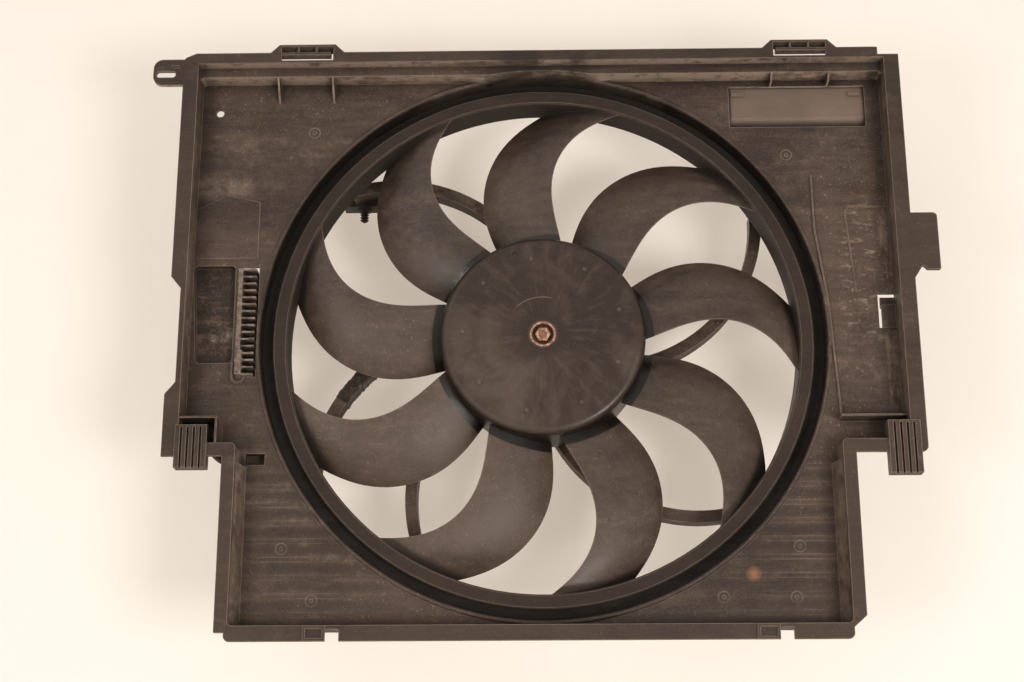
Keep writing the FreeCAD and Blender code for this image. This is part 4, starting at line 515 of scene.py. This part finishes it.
def stud_steel():
    """Steel shaft: a browned threaded end at the front, turned and bright behind it."""
    tree = Tree("shaft_steel")
    _, y, _ = tree.split()
    wear = tree.noise(240.0, 5.0, 0.65, tree.scaled((1.0, 0.1, 1.0)))
    steel = tree.mix(tree.between(wear, 0.35, 0.65), (0.36, 0.34, 0.31), (0.60, 0.58, 0.55))
    brown = tree.between(tree.noise(700.0, 4.0, 0.7), 0.4, 0.6)
    end = tree.mix(brown, (0.16, 0.07, 0.042), (0.34, 0.17, 0.115))
    shade = tree.mix(tree.between(y, 0.0300, 0.0285), steel, end)
    thread = tree.math("PINGPONG", y, 0.0005)
    normal = tree.bump(thread, 0.0003, 0.7, tree.rounded(0.0003))
    return tree.finish(shade, tree.between(wear, 0.3, 0.7, 0.5, 0.34), normal, Metallic=0.75)


def cast_aluminium(settings):
    """Cast aluminium eaten by salt: grey-brown crust, with a little bare metal at the edges."""
    tree = Tree("cast_aluminium")
    crust = tree.noise(210.0, 6.0, 0.72)
    patches = tree.noise(45.0, 4.0, 0.65)
    shade = tree.mix(tree.between(crust, 0.38, 0.62), (0.105, 0.070, 0.052), (0.33, 0.26, 0.21))
    shade = tree.lay(shade, tuple(settings.film), tree.between(patches, 0.45, 0.62), 0.5)
    shade = tree.lay(shade, (0.62, 0.56, 0.50), tree.edges(0.0007), tree.between(crust, 0.46, 0.6), 0.6)
    shade = shade_and_grime_in_corners(tree, shade, 0.008, 0.15)
    normal = tree.bump(crust, 0.0005, 0.9, tree.rounded(0.0004))
    return tree.finish(shade, tree.between(crust, 0.3, 0.7, 0.9, 0.7), normal, Metallic=0.1)


def sheath(name, base, dirt):
    """Cable sheath or rubber: smooth, with a little dust."""
    tree = Tree(name)
    shade, share, normal = moulded(tree, base, dirt, 0.28, 0.12, 0.1)
    return tree.finish(shade, tree.between(share, 0.0, 0.6, 0.42, 0.75), normal, Specular_IOR_Level=0.4)


def tape(base, dirt):
    """Woven harness tape: crossed threads, furred and dirty."""
    tree = Tree("harness_tape")
    thread = 0.0004
    x, y, _ = tree.split(tree.scaled((1.0, 1.0, 1.0), turn=(0.3, 0.78, 0.2)))
    threads = tree.math("MAXIMUM", tree.math("PINGPONG", x, thread), tree.math("PINGPONG", y, thread))
    fur = tree.noise(900.0, 5.0, 0.8)
    grime = tree.between(tree.noise(120.0, 5.0, 0.75), 0.46, 0.72)
    shade = tree.lay(base, dirt.film, grime, 0.5)
    shade = shade_and_grime_in_corners(tree, shade, 0.006, 0.4)
    height = tree.add(tree.between(threads, 0.0, thread), tree.times(fur, 1.5))
    return tree.finish(
        shade, 0.92, tree.bump(height, 0.0003, 0.9), Sheen_Weight=0.25, Specular_IOR_Level=0.2)


METALS = (  # name, bright and dull colour, scale of the wear, roughness, stretch of the wear
    ("bright_steel", (0.62, 0.60, 0.57), (0.38, 0.36, 0.33), 220.0, 0.3, (1.0, 0.1, 1.0)),
    ("zinc_steel", (0.50, 0.47, 0.41), (0.24, 0.21, 0.17), 300.0, 0.42),
    ("stacked_laminations", (0.4, 0.4, 0.4), (0.2, 0.2, 0.2), 90.0, 0.4, (0.1, 9.0, 0.1)),
    ("enamelled_wire", (0.72, 0.32, 0.14), (0.42, 0.16, 0.06), 500.0, 0.32, (1.0, 0.1, 1.0)),
    ("copper_bars", (0.80, 0.45, 0.28), (0.45, 0.24, 0.15), 300.0, 0.28),
)

PLASTICS = (  # name, colour, share of film, roughness
    ("coated_can", (0.016, 0.014, 0.013), 0.20, 0.45),
    ("sintered_ferrite", (0.035, 0.035, 0.037), 0.1, 0.55),
    ("pressed_carbon", (0.018, 0.018, 0.02), 0.1, 0.45),
    ("board_laminate", (0.02, 0.11, 0.05), 0.1, 0.4),
)

FINISHES = {
    "shroud_frame": "frame_plastic", "fan": "fan_plastic", "fan_nut": "nut_rust",
    "motor_shaft": "shaft_steel", "ram_air_flap": "flap_plastic", "motor_can": "coated_can",
    "motor_end_cap": "coated_can", "module_heat_sink": "cast_aluminium",
    "module_housing": "black_moulding", "module_plugs": "black_moulding",
    "supply_connector": "black_moulding", "harness_clip": "black_moulding",
    "brush_plate": "black_moulding", "motor_lead": "cable_sheath", "supply_lead": "cable_sheath",
    "lead_grommet": "grommet_rubber", "lead_wrap": "harness_tape",
    "armature_core": "stacked_laminations", "armature_winding": "enamelled_wire",
    "commutator": "copper_bars", "field_magnets": "sintered_ferrite", "brushes": "pressed_carbon",
    "module_board": "board_laminate", "front_bearing": "bright_steel", "rear_bearing": "bright_steel",
    "brush_springs": "bright_steel", "flap_hinge_rod": "bright_steel", "motor_screws": "zinc_steel",
    "module_screws": "zinc_steel",
}


def finish_named(name):
    return bpy.data.materials[name + "_finish"]


def make_finishes(settings):
    """Every finish once, under its own name."""
    dirt = Dirt(settings)
    frame_finish(settings)
    fan_finish(settings)
    rusty(settings)
    stud_steel()
    cast_aluminium(settings)
    for values in METALS:
        metal(*values)
    flap_finish(settings)
    plain_plastic("black_moulding", tuple(settings.black_plastic), dirt, 0.30, 0.5)
    for name, base, film, roughness in PLASTICS:
        plain_plastic(name, base, dirt, film, roughness)
    sheath("cable_sheath", (0.02, 0.017, 0.015), dirt)
    sheath("grommet_rubber", (0.016, 0.015, 0.015), dirt)
    tape((0.024, 0.018, 0.013), dirt)


# ---- Modelling steps ----

def only(piece):
    """Makes one piece the only selected one, and the active one."""
    bpy.ops.object.select_all(action="DESELECT")
    piece.select_set(True)
    bpy.context.view_layer.objects.active = piece


def settled():
    """Puts the place, turn and scale of the selected pieces into their meshes."""
    bpy.ops.object.transform_apply(location=True, rotation=True, scale=True)
    return bpy.context.object


def edit(piece):
    """Goes into edit mode on one piece, with nothing selected."""
    only(piece)
    bpy.ops.object.mode_set(mode="EDIT")
    bpy.ops.mesh.select_all(action="DESELECT")


def leave():
    """Turns the faces outwards and leaves edit mode."""
    bpy.ops.mesh.select_all(action="SELECT")
    bpy.ops.mesh.normals_make_consistent(inside=False)
    bpy.ops.object.mode_set(mode="OBJECT")


def pick(piece, kind, test):
    """Selects the faces or edges that pass a test on them and their middle."""
    bpy.ops.mesh.select_mode(type="FACE" if kind == "faces" else "EDGE")
    for part in getattr(bmesh.from_edit_mesh(piece.data), kind):
        middle = sum((vert.co for vert in part.verts), Vector()) / len(part.verts)
        part.select_set(test(part, middle))
    bmesh.update_edit_mesh(piece.data)


def facing(way):
    """Test for the faces that look one way."""
    return lambda face, middle: face.normal.dot(way) > 0.9


def extrude(offset):
    bpy.ops.mesh.extrude_region_move(TRANSFORM_OT_translate={"value": offset})


def applied(piece, kind, **values):
    """Adds a modifier with its values and applies it."""
    bpy.context.view_layer.objects.active = piece
    modifier = piece.modifiers.new(kind.lower(), kind)
    for name, value in values.items():
        setattr(modifier, name, value)
    bpy.ops.object.modifier_apply(modifier=modifier.name)


def roughened(piece, clouds, mid_level):
    """Moves the surface in and out by clouds, given as name, scale and strength."""
    for name, scale, strength in clouds:
        cloud = bpy.data.textures.new(name, "CLOUDS")
        cloud.noise_scale = scale
        applied(piece, "DISPLACE", texture=cloud, strength=strength, mid_level=mid_level)


def joined(name, pieces):
    """Joins pieces into one, with its place in its mesh."""
    only(pieces[0])
    for piece in pieces:
        piece.select_set(True)
    bpy.ops.object.join()
    whole = settled()
    whole.name = name
    return whole


def dress(piece, finish, body):
    """Gives a piece its finish, its shading and the body that it rides on."""
    piece.data.materials.clear()
    piece.data.materials.append(finish_named(finish))
    only(piece)
    bpy.ops.object.shade_smooth_by_angle(angle=math.radians(35))
    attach(piece, body)


# ---- Operators ----

class SHROUD_OT_stage(bpy.types.Operator):
    """Sets up the camera, the soft lamps, the pale floor and the paper backdrop"""

    bl_idname = "shroud.stage"
    bl_label = "Stage"

    lens, sensor_width = 58.89, 36.0
    eye_place = (-0.0049, -1.4098, -0.4470)
    eye_right, eye_up = Vector((0.9999, 0.0168, -0.003)), Vector((0.0078, -0.2941, 0.9557))
    sheet_size = 9.0
    glow_colour, glow_strength = (1.0, 0.83, 0.66, 1.0), 1.2
    world_colour, lamp_colour = (1.0, 0.955, 0.90, 1.0), (1.0, 0.93, 0.85)
    lamp_spread = math.radians(120)
    lamp_places = (  # name, setting of its power, place, size
        ("key_lamp", "key", (1.2, -2.0, -0.9), 0.8),
        ("side_lamp", "side", (-1.4, -2.0, -0.8), 0.7),
        ("fill_lamp", "fill", (-1.3, -2.2, 1.0), 1.6),
        ("rear_lamp", "rear", (-0.9, 2.2, 1.2), 1.6),
    )

    def execute(self, context):
        settings = context.scene.shroud_stage
        self.camera(context)
        self.paper(settings)
        self.world(context, settings)
        self.lamps(context, settings)
        context.scene.view_settings.view_transform = "Standard"
        return {"FINISHED"}

    def camera(self, context):
        data = bpy.data.cameras.new("front_camera")
        data.lens = self.lens
        data.sensor_width = self.sensor_width
        eye = bpy.data.objects.new("front_camera", data)
        context.scene.collection.objects.link(eye)
        away = self.eye_right.cross(self.eye_up)
        turn = Matrix((self.eye_right, self.eye_up, away)).transposed().to_4x4()
        eye.matrix_world = Matrix.Translation(self.eye_place) @ turn
        context.scene.camera = eye

    def paper(self, settings):
        """Floor and backdrop that take a soft shadow and let the rear lamp reach the part."""
        low, high = CAD_BOX
        material = self.paper_finish(settings)
        bpy.ops.mesh.primitive_plane_add(
            size=self.sheet_size, location=(0, 0, low.z - settings.floor_drop))
        floor = bpy.context.object
        floor.name = "pale_floor"
        bpy.ops.mesh.primitive_plane_add(
            size=self.sheet_size, location=(0, high.y + settings.backdrop_gap, 0),
            rotation=(math.pi / 2, 0, 0))
        backdrop = bpy.context.object
        backdrop.name = "paper_backdrop"
        for sheet in (floor, backdrop):
            sheet.data.materials.append(material)

    def paper_finish(self, settings):
        """Matt paper with a glow that shadows leave alone, clear to lamps and from behind."""
        tree = Tree("pale_paper")
        paper = tuple(settings.backdrop)
        fibres = tree.between(tree.noise(30.0), 0.3, 0.7)
        tree.finish(tree.mix(fibres, darker(paper, 0.985), paper), 0.9, Specular_IOR_Level=0.0)
        glow = tree.node("Emission", Color=self.glow_colour, Strength=self.glow_strength)
        ray = tree.node("LightPath").outputs
        seen = tree.math("MAXIMUM", ray["Is Camera Ray"], ray["Is Glossy Ray"])
        seen = tree.math("MAXIMUM", seen, ray["Is Transmission Ray"])
        behind = tree.node("NewGeometry").outputs["Backfacing"]
        clear = tree.node("BsdfTransparent").outputs[0]
        shown = tree.shader.outputs[0]
        for share, over in (
            (tree.times(seen, settings.backdrop_glow), glow.outputs[0]),
            (tree.math("MAXIMUM", behind, ray["Is Shadow Ray"]), clear),
        ):
            blend = tree.node("MixShader")
            for socket, value in zip(blend.inputs, (share, shown, over)):
                tree.link(value, socket)
            shown = blend.outputs[0]
        tree.link(shown, tree.output.inputs[0])
        return tree.material

    def world(self, context, settings):
        """Even light, brighter where it is seen straight, in gloss or through glass."""
        world = bpy.data.worlds.new("even_light")
        context.scene.world = world
        world.use_nodes = True
        nodes, link = world.node_tree.nodes, world.node_tree.links.new
        background = nodes["Background"]
        background.inputs["Color"].default_value = self.world_colour
        ray = nodes.new("ShaderNodeLightPath").outputs
        seen = ray["Is Camera Ray"]
        for name in ("Is Glossy Ray", "Is Transmission Ray"):
            most = nodes.new("ShaderNodeMath")
            most.operation = "MAXIMUM"
            link(seen, most.inputs[0])
            link(ray[name], most.inputs[1])
            seen = most.outputs[0]
        level = nodes.new("ShaderNodeMapRange")
        link(seen, level.inputs["Value"])
        level.inputs["To Min"].default_value = settings.ambient
        level.inputs["To Max"].default_value = settings.surround
        link(level.outputs[0], background.inputs["Strength"])

    def lamps(self, context, settings):
        """Square soft lamps that look at the fan's axis."""
        for name, power, place, size in self.lamp_places:
            data = bpy.data.lights.new(name, "AREA")
            data.energy = getattr(settings, power)
            data.size = size
            data.color = self.lamp_colour
            data.spread = self.lamp_spread
            lamp = bpy.data.objects.new(name, data)
            context.scene.collection.objects.link(lamp)
            turn = Vector(place).to_track_quat("Z", "Y").to_matrix().to_4x4()
            lamp.matrix_world = Matrix.Translation(place) @ turn


class SHROUD_OT_finishes(bpy.types.Operator):
    """Makes the procedural finishes and gives every CAD piece its own"""

    bl_idname = "shroud.finishes"
    bl_label = "Finishes"

    def execute(self, context):
        make_finishes(context.scene.shroud_finish)
        for node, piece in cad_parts.items():
            piece.data.materials.clear()
            piece.data.materials.append(finish_named(FINISHES[node]))
        return {"FINISHED"}


class SHROUD_OT_leads(bpy.types.Operator):
    """Draws the motor lead and the supply lead as smooth round tubes"""

    bl_idname = "shroud.leads"
    bl_label = "Leads"

    routes = {
        "motor_lead": (
            (-0.04686, 0.0969, 0.01433), (-0.07842, 0.0969, 0.02397), (-0.11059, 0.0969, 0.01237),
            (-0.13891, 0.0969, -0.00062), (-0.16377, 0.0969, -0.01941), (-0.18337, 0.0969, -0.04219),
            (-0.20304, 0.0969, -0.06793), (-0.23196, 0.0949, -0.08997), (-0.26202, 0.0859, -0.10586),
            (-0.28990, 0.0699, -0.10724), (-0.30850, 0.0579, -0.08600), (-0.30850, 0.0579, -0.05900)),
        "supply_lead": (
            (-0.30850, 0.0579, 0.09000), (-0.30850, 0.0579, 0.11700), (-0.29685, 0.0659, 0.14800),
            (-0.27209, 0.0799, 0.16478), (-0.24217, 0.0929, 0.16582), (-0.21705, 0.1013, 0.15802),
            (-0.19005, 0.1013, 0.15802)),
    }

    def execute(self, context):
        for node, route in self.routes.items():
            tube = self.tube(context, node + "_tube", route, context.scene.shroud_detail.lead_radius)
            dress(tube, "cable_sheath", "frame")
            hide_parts(node)
        return {"FINISHED"}

    def tube(self, context, name, route, radius):
        curve = bpy.data.curves.new(name, "CURVE")
        curve.dimensions = "3D"
        curve.bevel_depth = radius
        curve.bevel_resolution = 5
        curve.resolution_u = 10
        curve.use_fill_caps = True
        spline = curve.splines.new("NURBS")
        spline.points.add(len(route) - 1)
        for point, place in zip(spline.points, route):
            point.co = (*place, 1.0)
        spline.order_u = 3
        spline.use_endpoint_u = True
        tube = bpy.data.objects.new(name, curve)
        context.scene.collection.objects.link(tube)
        only(tube)
        bpy.ops.object.convert(target="MESH")
        return bpy.context.object


class SHROUD_OT_boots(bpy.types.Operator):
    """Adds the ribbed rubber boots where the leads leave the plugs and the connector"""

    bl_idname = "shroud.boots"
    bl_label = "Lead boots"

    ends = (  # each lead's end, and the way that the lead leaves it
        ((-0.3085, 0.0579, -0.0590), (0.0, 0.0, -1.0)), ((-0.3085, 0.0579, 0.0900), (0.0, 0.0, 1.0)),
        ((-0.1915, 0.1013, 0.1580), (-1.0, 0.0, 0.0)))
    collar = 1.85  # radius at the root, as a share of the lead's
    step = 0.0026
    rings = 5
    groove, ridge = 0.80, 1.16  # how much each ring narrows, and widens again

    def execute(self, context):
        radius = context.scene.shroud_detail.lead_radius
        boots = [self.boot(Vector(place), Vector(away), radius) for place, away in self.ends]
        dress(joined("lead_boots", boots), "grommet_rubber", "frame")
        return {"FINISHED"}

    def boot(self, place, away, radius):
        """Tapered sleeve of rings, each after a groove."""
        step = self.step
        bpy.ops.mesh.primitive_cylinder_add(
            vertices=28, radius=radius * self.collar, depth=step, location=place + away * step / 2,
            rotation=away.to_track_quat("Z", "Y").to_euler())
        piece = settled()
        edit(piece)
        pick(piece, "faces", facing(away))
        for half in range(2 * self.rings):
            size = self.ridge if half % 2 else self.groove
            centre = place + away * step * (0.5 + half / 2)
            bpy.ops.transform.resize(value=(size,) * 3, center_override=centre)
            extrude(away * (step * 0.5))
        leave()
        applied(piece, "BEVEL", width=0.0002, segments=2)
        return piece


class SHROUD_OT_tape(bpy.types.Operator):
    """Winds harness tape round the strut and the motor lead behind it"""

    bl_idname = "shroud.tape"
    bl_label = "Harness tape"

    start, middle, end = (  # of the taped stretch of the strut
        Vector((-0.18524, 0.0, -0.04497)), Vector((-0.16538, 0.0, -0.02095)),
        Vector((-0.14082, 0.0, -0.00178)))
    first, last = 0.06, 0.94  # shares of the stretch at which the turns begin and end
    height = 0.0132
    lean = 0.24  # most that a turn leans, in radians
    tuck, slack = 0.035, 0.02  # how much smaller every second turn is, and any turn may be
    back, corner, thickness = 0.72, 0.0024, 0.0006

    def execute(self, context):
        detail = context.scene.shroud_detail
        low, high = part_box("lead_wrap")
        depth = high.y - low.y
        slope = self.middle * 4 - self.start * 3 - self.end
        bow = self.start + self.end - self.middle * 2
        chance = random.Random(7)
        turns = []
        for index in range(detail.tape_turns):
            share = self.first + (self.last - self.first) * index / (detail.tape_turns - 1)
            place = self.start + slope * share + bow * (2 * share * share)
            along = slope + bow * (4 * share)
            place.y = (low.y + high.y) / 2
            lean = math.atan2(-along.z, along.x) + chance.uniform(-self.lean, self.lean)
            grow = 1.0 - self.tuck * (index % 2) - self.slack * chance.random()
            turns.append(self.turn(place, lean, (detail.tape_width, depth * grow, self.height * grow)))
        wrap = joined("tape_wrap", turns)
        applied(wrap, "SUBSURF", levels=2, render_levels=2)
        roughened(wrap, (("tape_creases", 0.005, 0.0016), ("tape_fray", 0.0016, 0.0011)), 0.55)
        dress(wrap, "harness_tape", "frame")
        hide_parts("lead_wrap")
        return {"FINISHED"}

    def turn(self, place, lean, size):
        """One turn of tape: an open sleeve, narrower at the back, with rounded corners."""
        bpy.ops.mesh.primitive_cube_add(size=1.0, location=(0, 0, 0))
        piece = bpy.context.object
        piece.scale = size
        settled()
        edit(piece)
        pick(piece, "faces", facing(BACK))
        bpy.ops.transform.resize(value=(1.0, 1.0, self.back), center_override=(0, size[1] / 2, 0))
        pick(piece, "faces", lambda face, middle: abs(face.normal.x) > 0.9)
        bpy.ops.mesh.delete(type="ONLY_FACE")
        pick(piece, "edges", lambda edge, middle: self.lengthwise(*edge.verts))
        bpy.ops.mesh.bevel(offset=self.corner, segments=4, affect="EDGES")
        leave()
        applied(piece, "SOLIDIFY", thickness=self.thickness, offset=-1.0)
        piece.rotation_euler = (0.0, lean, 0.0)
        piece.location = place
        only(piece)
        return settled()

    def lengthwise(self, first, second):
        """True for an edge that runs along the strut."""
        return abs((first.co - second.co).normalized().x) > 0.9


class SHROUD_OT_heat_sink(bpy.types.Operator):
    """Roughens a copy of the heat sink as cast and salt-eaten aluminium"""

    bl_idname = "shroud.heat_sink"
    bl_label = "Cast heat sink"

    merge, voxel = 0.00001, 0.0008

    def execute(self, context):
        sink = bpy.data.objects.new("cast_sink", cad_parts["module_heat_sink"].data.copy())
        context.scene.collection.objects.link(sink)
        edit(sink)
        bpy.ops.mesh.select_all(action="SELECT")
        bpy.ops.mesh.remove_doubles(threshold=self.merge)
        leave()
        applied(sink, "REMESH", mode="VOXEL", voxel_size=self.voxel)
        wear = context.scene.shroud_detail.sink_wear
        roughened(sink, (("casting_waves", 0.006, wear), ("salt_pits", 0.0016, wear * 0.7)), 0.62)
        dress(sink, "cast_aluminium", "frame")
        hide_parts("module_heat_sink")
        return {"FINISHED"}


class SHROUD_OT_screws(bpy.types.Operator):
    """Models the motor screws and the module screws, with star sockets in their heads"""

    bl_idname = "shroud.screws"
    bl_label = "Screws"

    motor_circle = 0.061
    module_places = ((-0.2865, 0.0745), (-0.2865, -0.0435))
    head, radius, shank = 0.0032, 0.0046, 0.0023  # height and radius of the head, radius of the shank
    rim, star_rim, star_waist, star_depth = 0.0007, 0.0014, 0.78, 0.0017
    tip_length, tip_share = 0.001, 0.6

    def execute(self, context):
        turns = (0.0, 2 * math.pi / 3, 4 * math.pi / 3)
        motor_places = [
            (self.motor_circle * math.sin(turn), self.motor_circle * math.cos(turn)) for turn in turns]
        for node, places in (("motor_screws", motor_places), ("module_screws", self.module_places)):
            low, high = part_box(node)
            screws = [self.screw(x, z, low.y, high.y) for x, z in places]
            whole = joined(node.replace("_screws", "_star_screws"), screws)
            dress(whole, "zinc_steel", "frame")
            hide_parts(node)
        return {"FINISHED"}

    def screw(self, x, z, tip, top):
        """Button head with a six-lobed socket, and a shank with a narrowed tip."""
        centre, under_head = Vector((x, top, z)), top - self.head
        bpy.ops.mesh.primitive_cylinder_add(
            vertices=24, radius=self.radius, depth=self.head, location=(x, top - self.head / 2, z),
            rotation=(-math.pi / 2, 0, 0))
        piece = settled()
        edit(piece)
        pick(piece, "faces", facing(BACK))
        bpy.ops.mesh.inset(thickness=self.rim)
        bpy.ops.mesh.inset(thickness=self.star_rim)
        self.pinch(piece, centre)
        pick(piece, "faces", lambda face, middle: (
            face.normal.y > 0.9 and (middle - centre).length < 0.0006))
        extrude(FRONT * self.star_depth)
        pick(piece, "faces", lambda face, middle: (
            face.normal.y < -0.9 and middle.y < under_head + 0.0001))
        bpy.ops.mesh.inset(thickness=self.radius - self.shank)
        extrude((0, tip - under_head + self.tip_length, 0))
        extrude(FRONT * self.tip_length)
        bpy.ops.transform.resize(
            value=(self.tip_share, 1.0, self.tip_share), center_override=(x, tip, z))
        leave()
        applied(piece, "BEVEL", width=0.00025, segments=2, limit_method="ANGLE",
                angle_limit=math.radians(40))
        return piece

    def pinch(self, piece, centre):
        """Draws in every second pair of the round face's corners, which leaves six lobes."""
        socket = next(face for face in bmesh.from_edit_mesh(piece.data).faces if face.select)
        waists = [vert for index, vert in enumerate(socket.verts) if index % 4 in (0, 1)]
        bpy.ops.mesh.select_all(action="DESELECT")
        bpy.ops.mesh.select_mode(type="VERT")
        for vert in waists:
            vert.select_set(True)
        bmesh.update_edit_mesh(piece.data)
        bpy.ops.transform.resize(
            value=(self.star_waist, 1.0, self.star_waist), center_override=centre)


class SHROUD_OT_marks(bpy.types.Operator):
    """Adds the low round ejector marks on the front of the panels"""

    bl_idname = "shroud.marks"
    bl_label = "Ejector marks"

    places = (
        (-0.2285, -0.1916), (-0.2010, -0.2368), (0.2202, -0.1917), (0.2153, -0.2356), (0.1530, -0.2353),
        (-0.2114, 0.2004), (0.2267, 0.1736))
    height, dish = 0.0006, 0.00022
    rim_share, dish_share = 0.14, 0.62  # of the mark's radius

    def execute(self, context):
        first = self.mark(context.scene.shroud_detail.mark_radius)
        marks = []
        for x, z in self.places:
            mark = first.copy()
            mark.data = first.data.copy()
            mark.location = (x, PANEL_FRONT, z)
            context.scene.collection.objects.link(mark)
            marks.append(mark)
        bpy.data.objects.remove(first)
        dress(joined("ejector_marks", marks), "frame_plastic", "frame")
        return {"FINISHED"}

    def mark(self, radius):
        """Low ring with a shallow dish in it and a small nub in the middle."""
        bpy.ops.mesh.primitive_cylinder_add(
            vertices=40, radius=radius, depth=self.height, rotation=(math.pi / 2, 0, 0))
        piece = settled()
        edit(piece)
        pick(piece, "faces", facing(FRONT))
        bpy.ops.mesh.inset(thickness=radius * self.rim_share)
        extrude(BACK * self.dish)
        bpy.ops.mesh.inset(thickness=radius * self.dish_share)
        extrude(FRONT * self.dish)
        leave()
        applied(piece, "BEVEL", width=0.00008, segments=2)
        return piece


class SHROUD_PT_panel(bpy.types.Panel):
    """Lists the settings and the steps in order"""

    bl_label = "Radiator Fan Shroud"
    bl_idname = "SHROUD_PT_panel"
    bl_space_type = "VIEW_3D"
    bl_region_type = "UI"
    bl_category = "Shroud"

    def draw(self, context):
        scene = context.scene
        for group in (scene.shroud_stage, scene.shroud_finish, scene.shroud_detail):
            box = self.layout.box()
            for name in group.__annotations__:
                box.prop(group, name)
        for step in STEPS:
            self.layout.operator(step.bl_idname)


STEPS = (SHROUD_OT_stage, SHROUD_OT_finishes, SHROUD_OT_leads, SHROUD_OT_boots, SHROUD_OT_tape,
         SHROUD_OT_heat_sink, SHROUD_OT_screws, SHROUD_OT_marks)
CLASSES = (ShroudStageSettings, ShroudFinishSettings, ShroudDetailSettings, *STEPS, SHROUD_PT_panel)


def register():
    for cls in CLASSES:
        bpy.utils.register_class(cls)
    bpy.types.Scene.shroud_stage = bpy.props.PointerProperty(type=ShroudStageSettings)
    bpy.types.Scene.shroud_finish = bpy.props.PointerProperty(type=ShroudFinishSettings)
    bpy.types.Scene.shroud_detail = bpy.props.PointerProperty(type=ShroudDetailSettings)


def unregister():
    del bpy.types.Scene.shroud_detail
    del bpy.types.Scene.shroud_finish
    del bpy.types.Scene.shroud_stage
    for cls in reversed(CLASSES):
        bpy.utils.unregister_class(cls)


def main():
    register()
    bpy.ops.object.select_all(action="DESELECT")
    bpy.ops.shroud.stage()
    bpy.ops.shroud.finishes()
    bpy.ops.shroud.leads()
    bpy.ops.shroud.boots()
    bpy.ops.shroud.tape()
    bpy.ops.shroud.heat_sink()
    bpy.ops.shroud.screws()
    bpy.ops.shroud.marks()


if __name__ == "__main__":
    main()
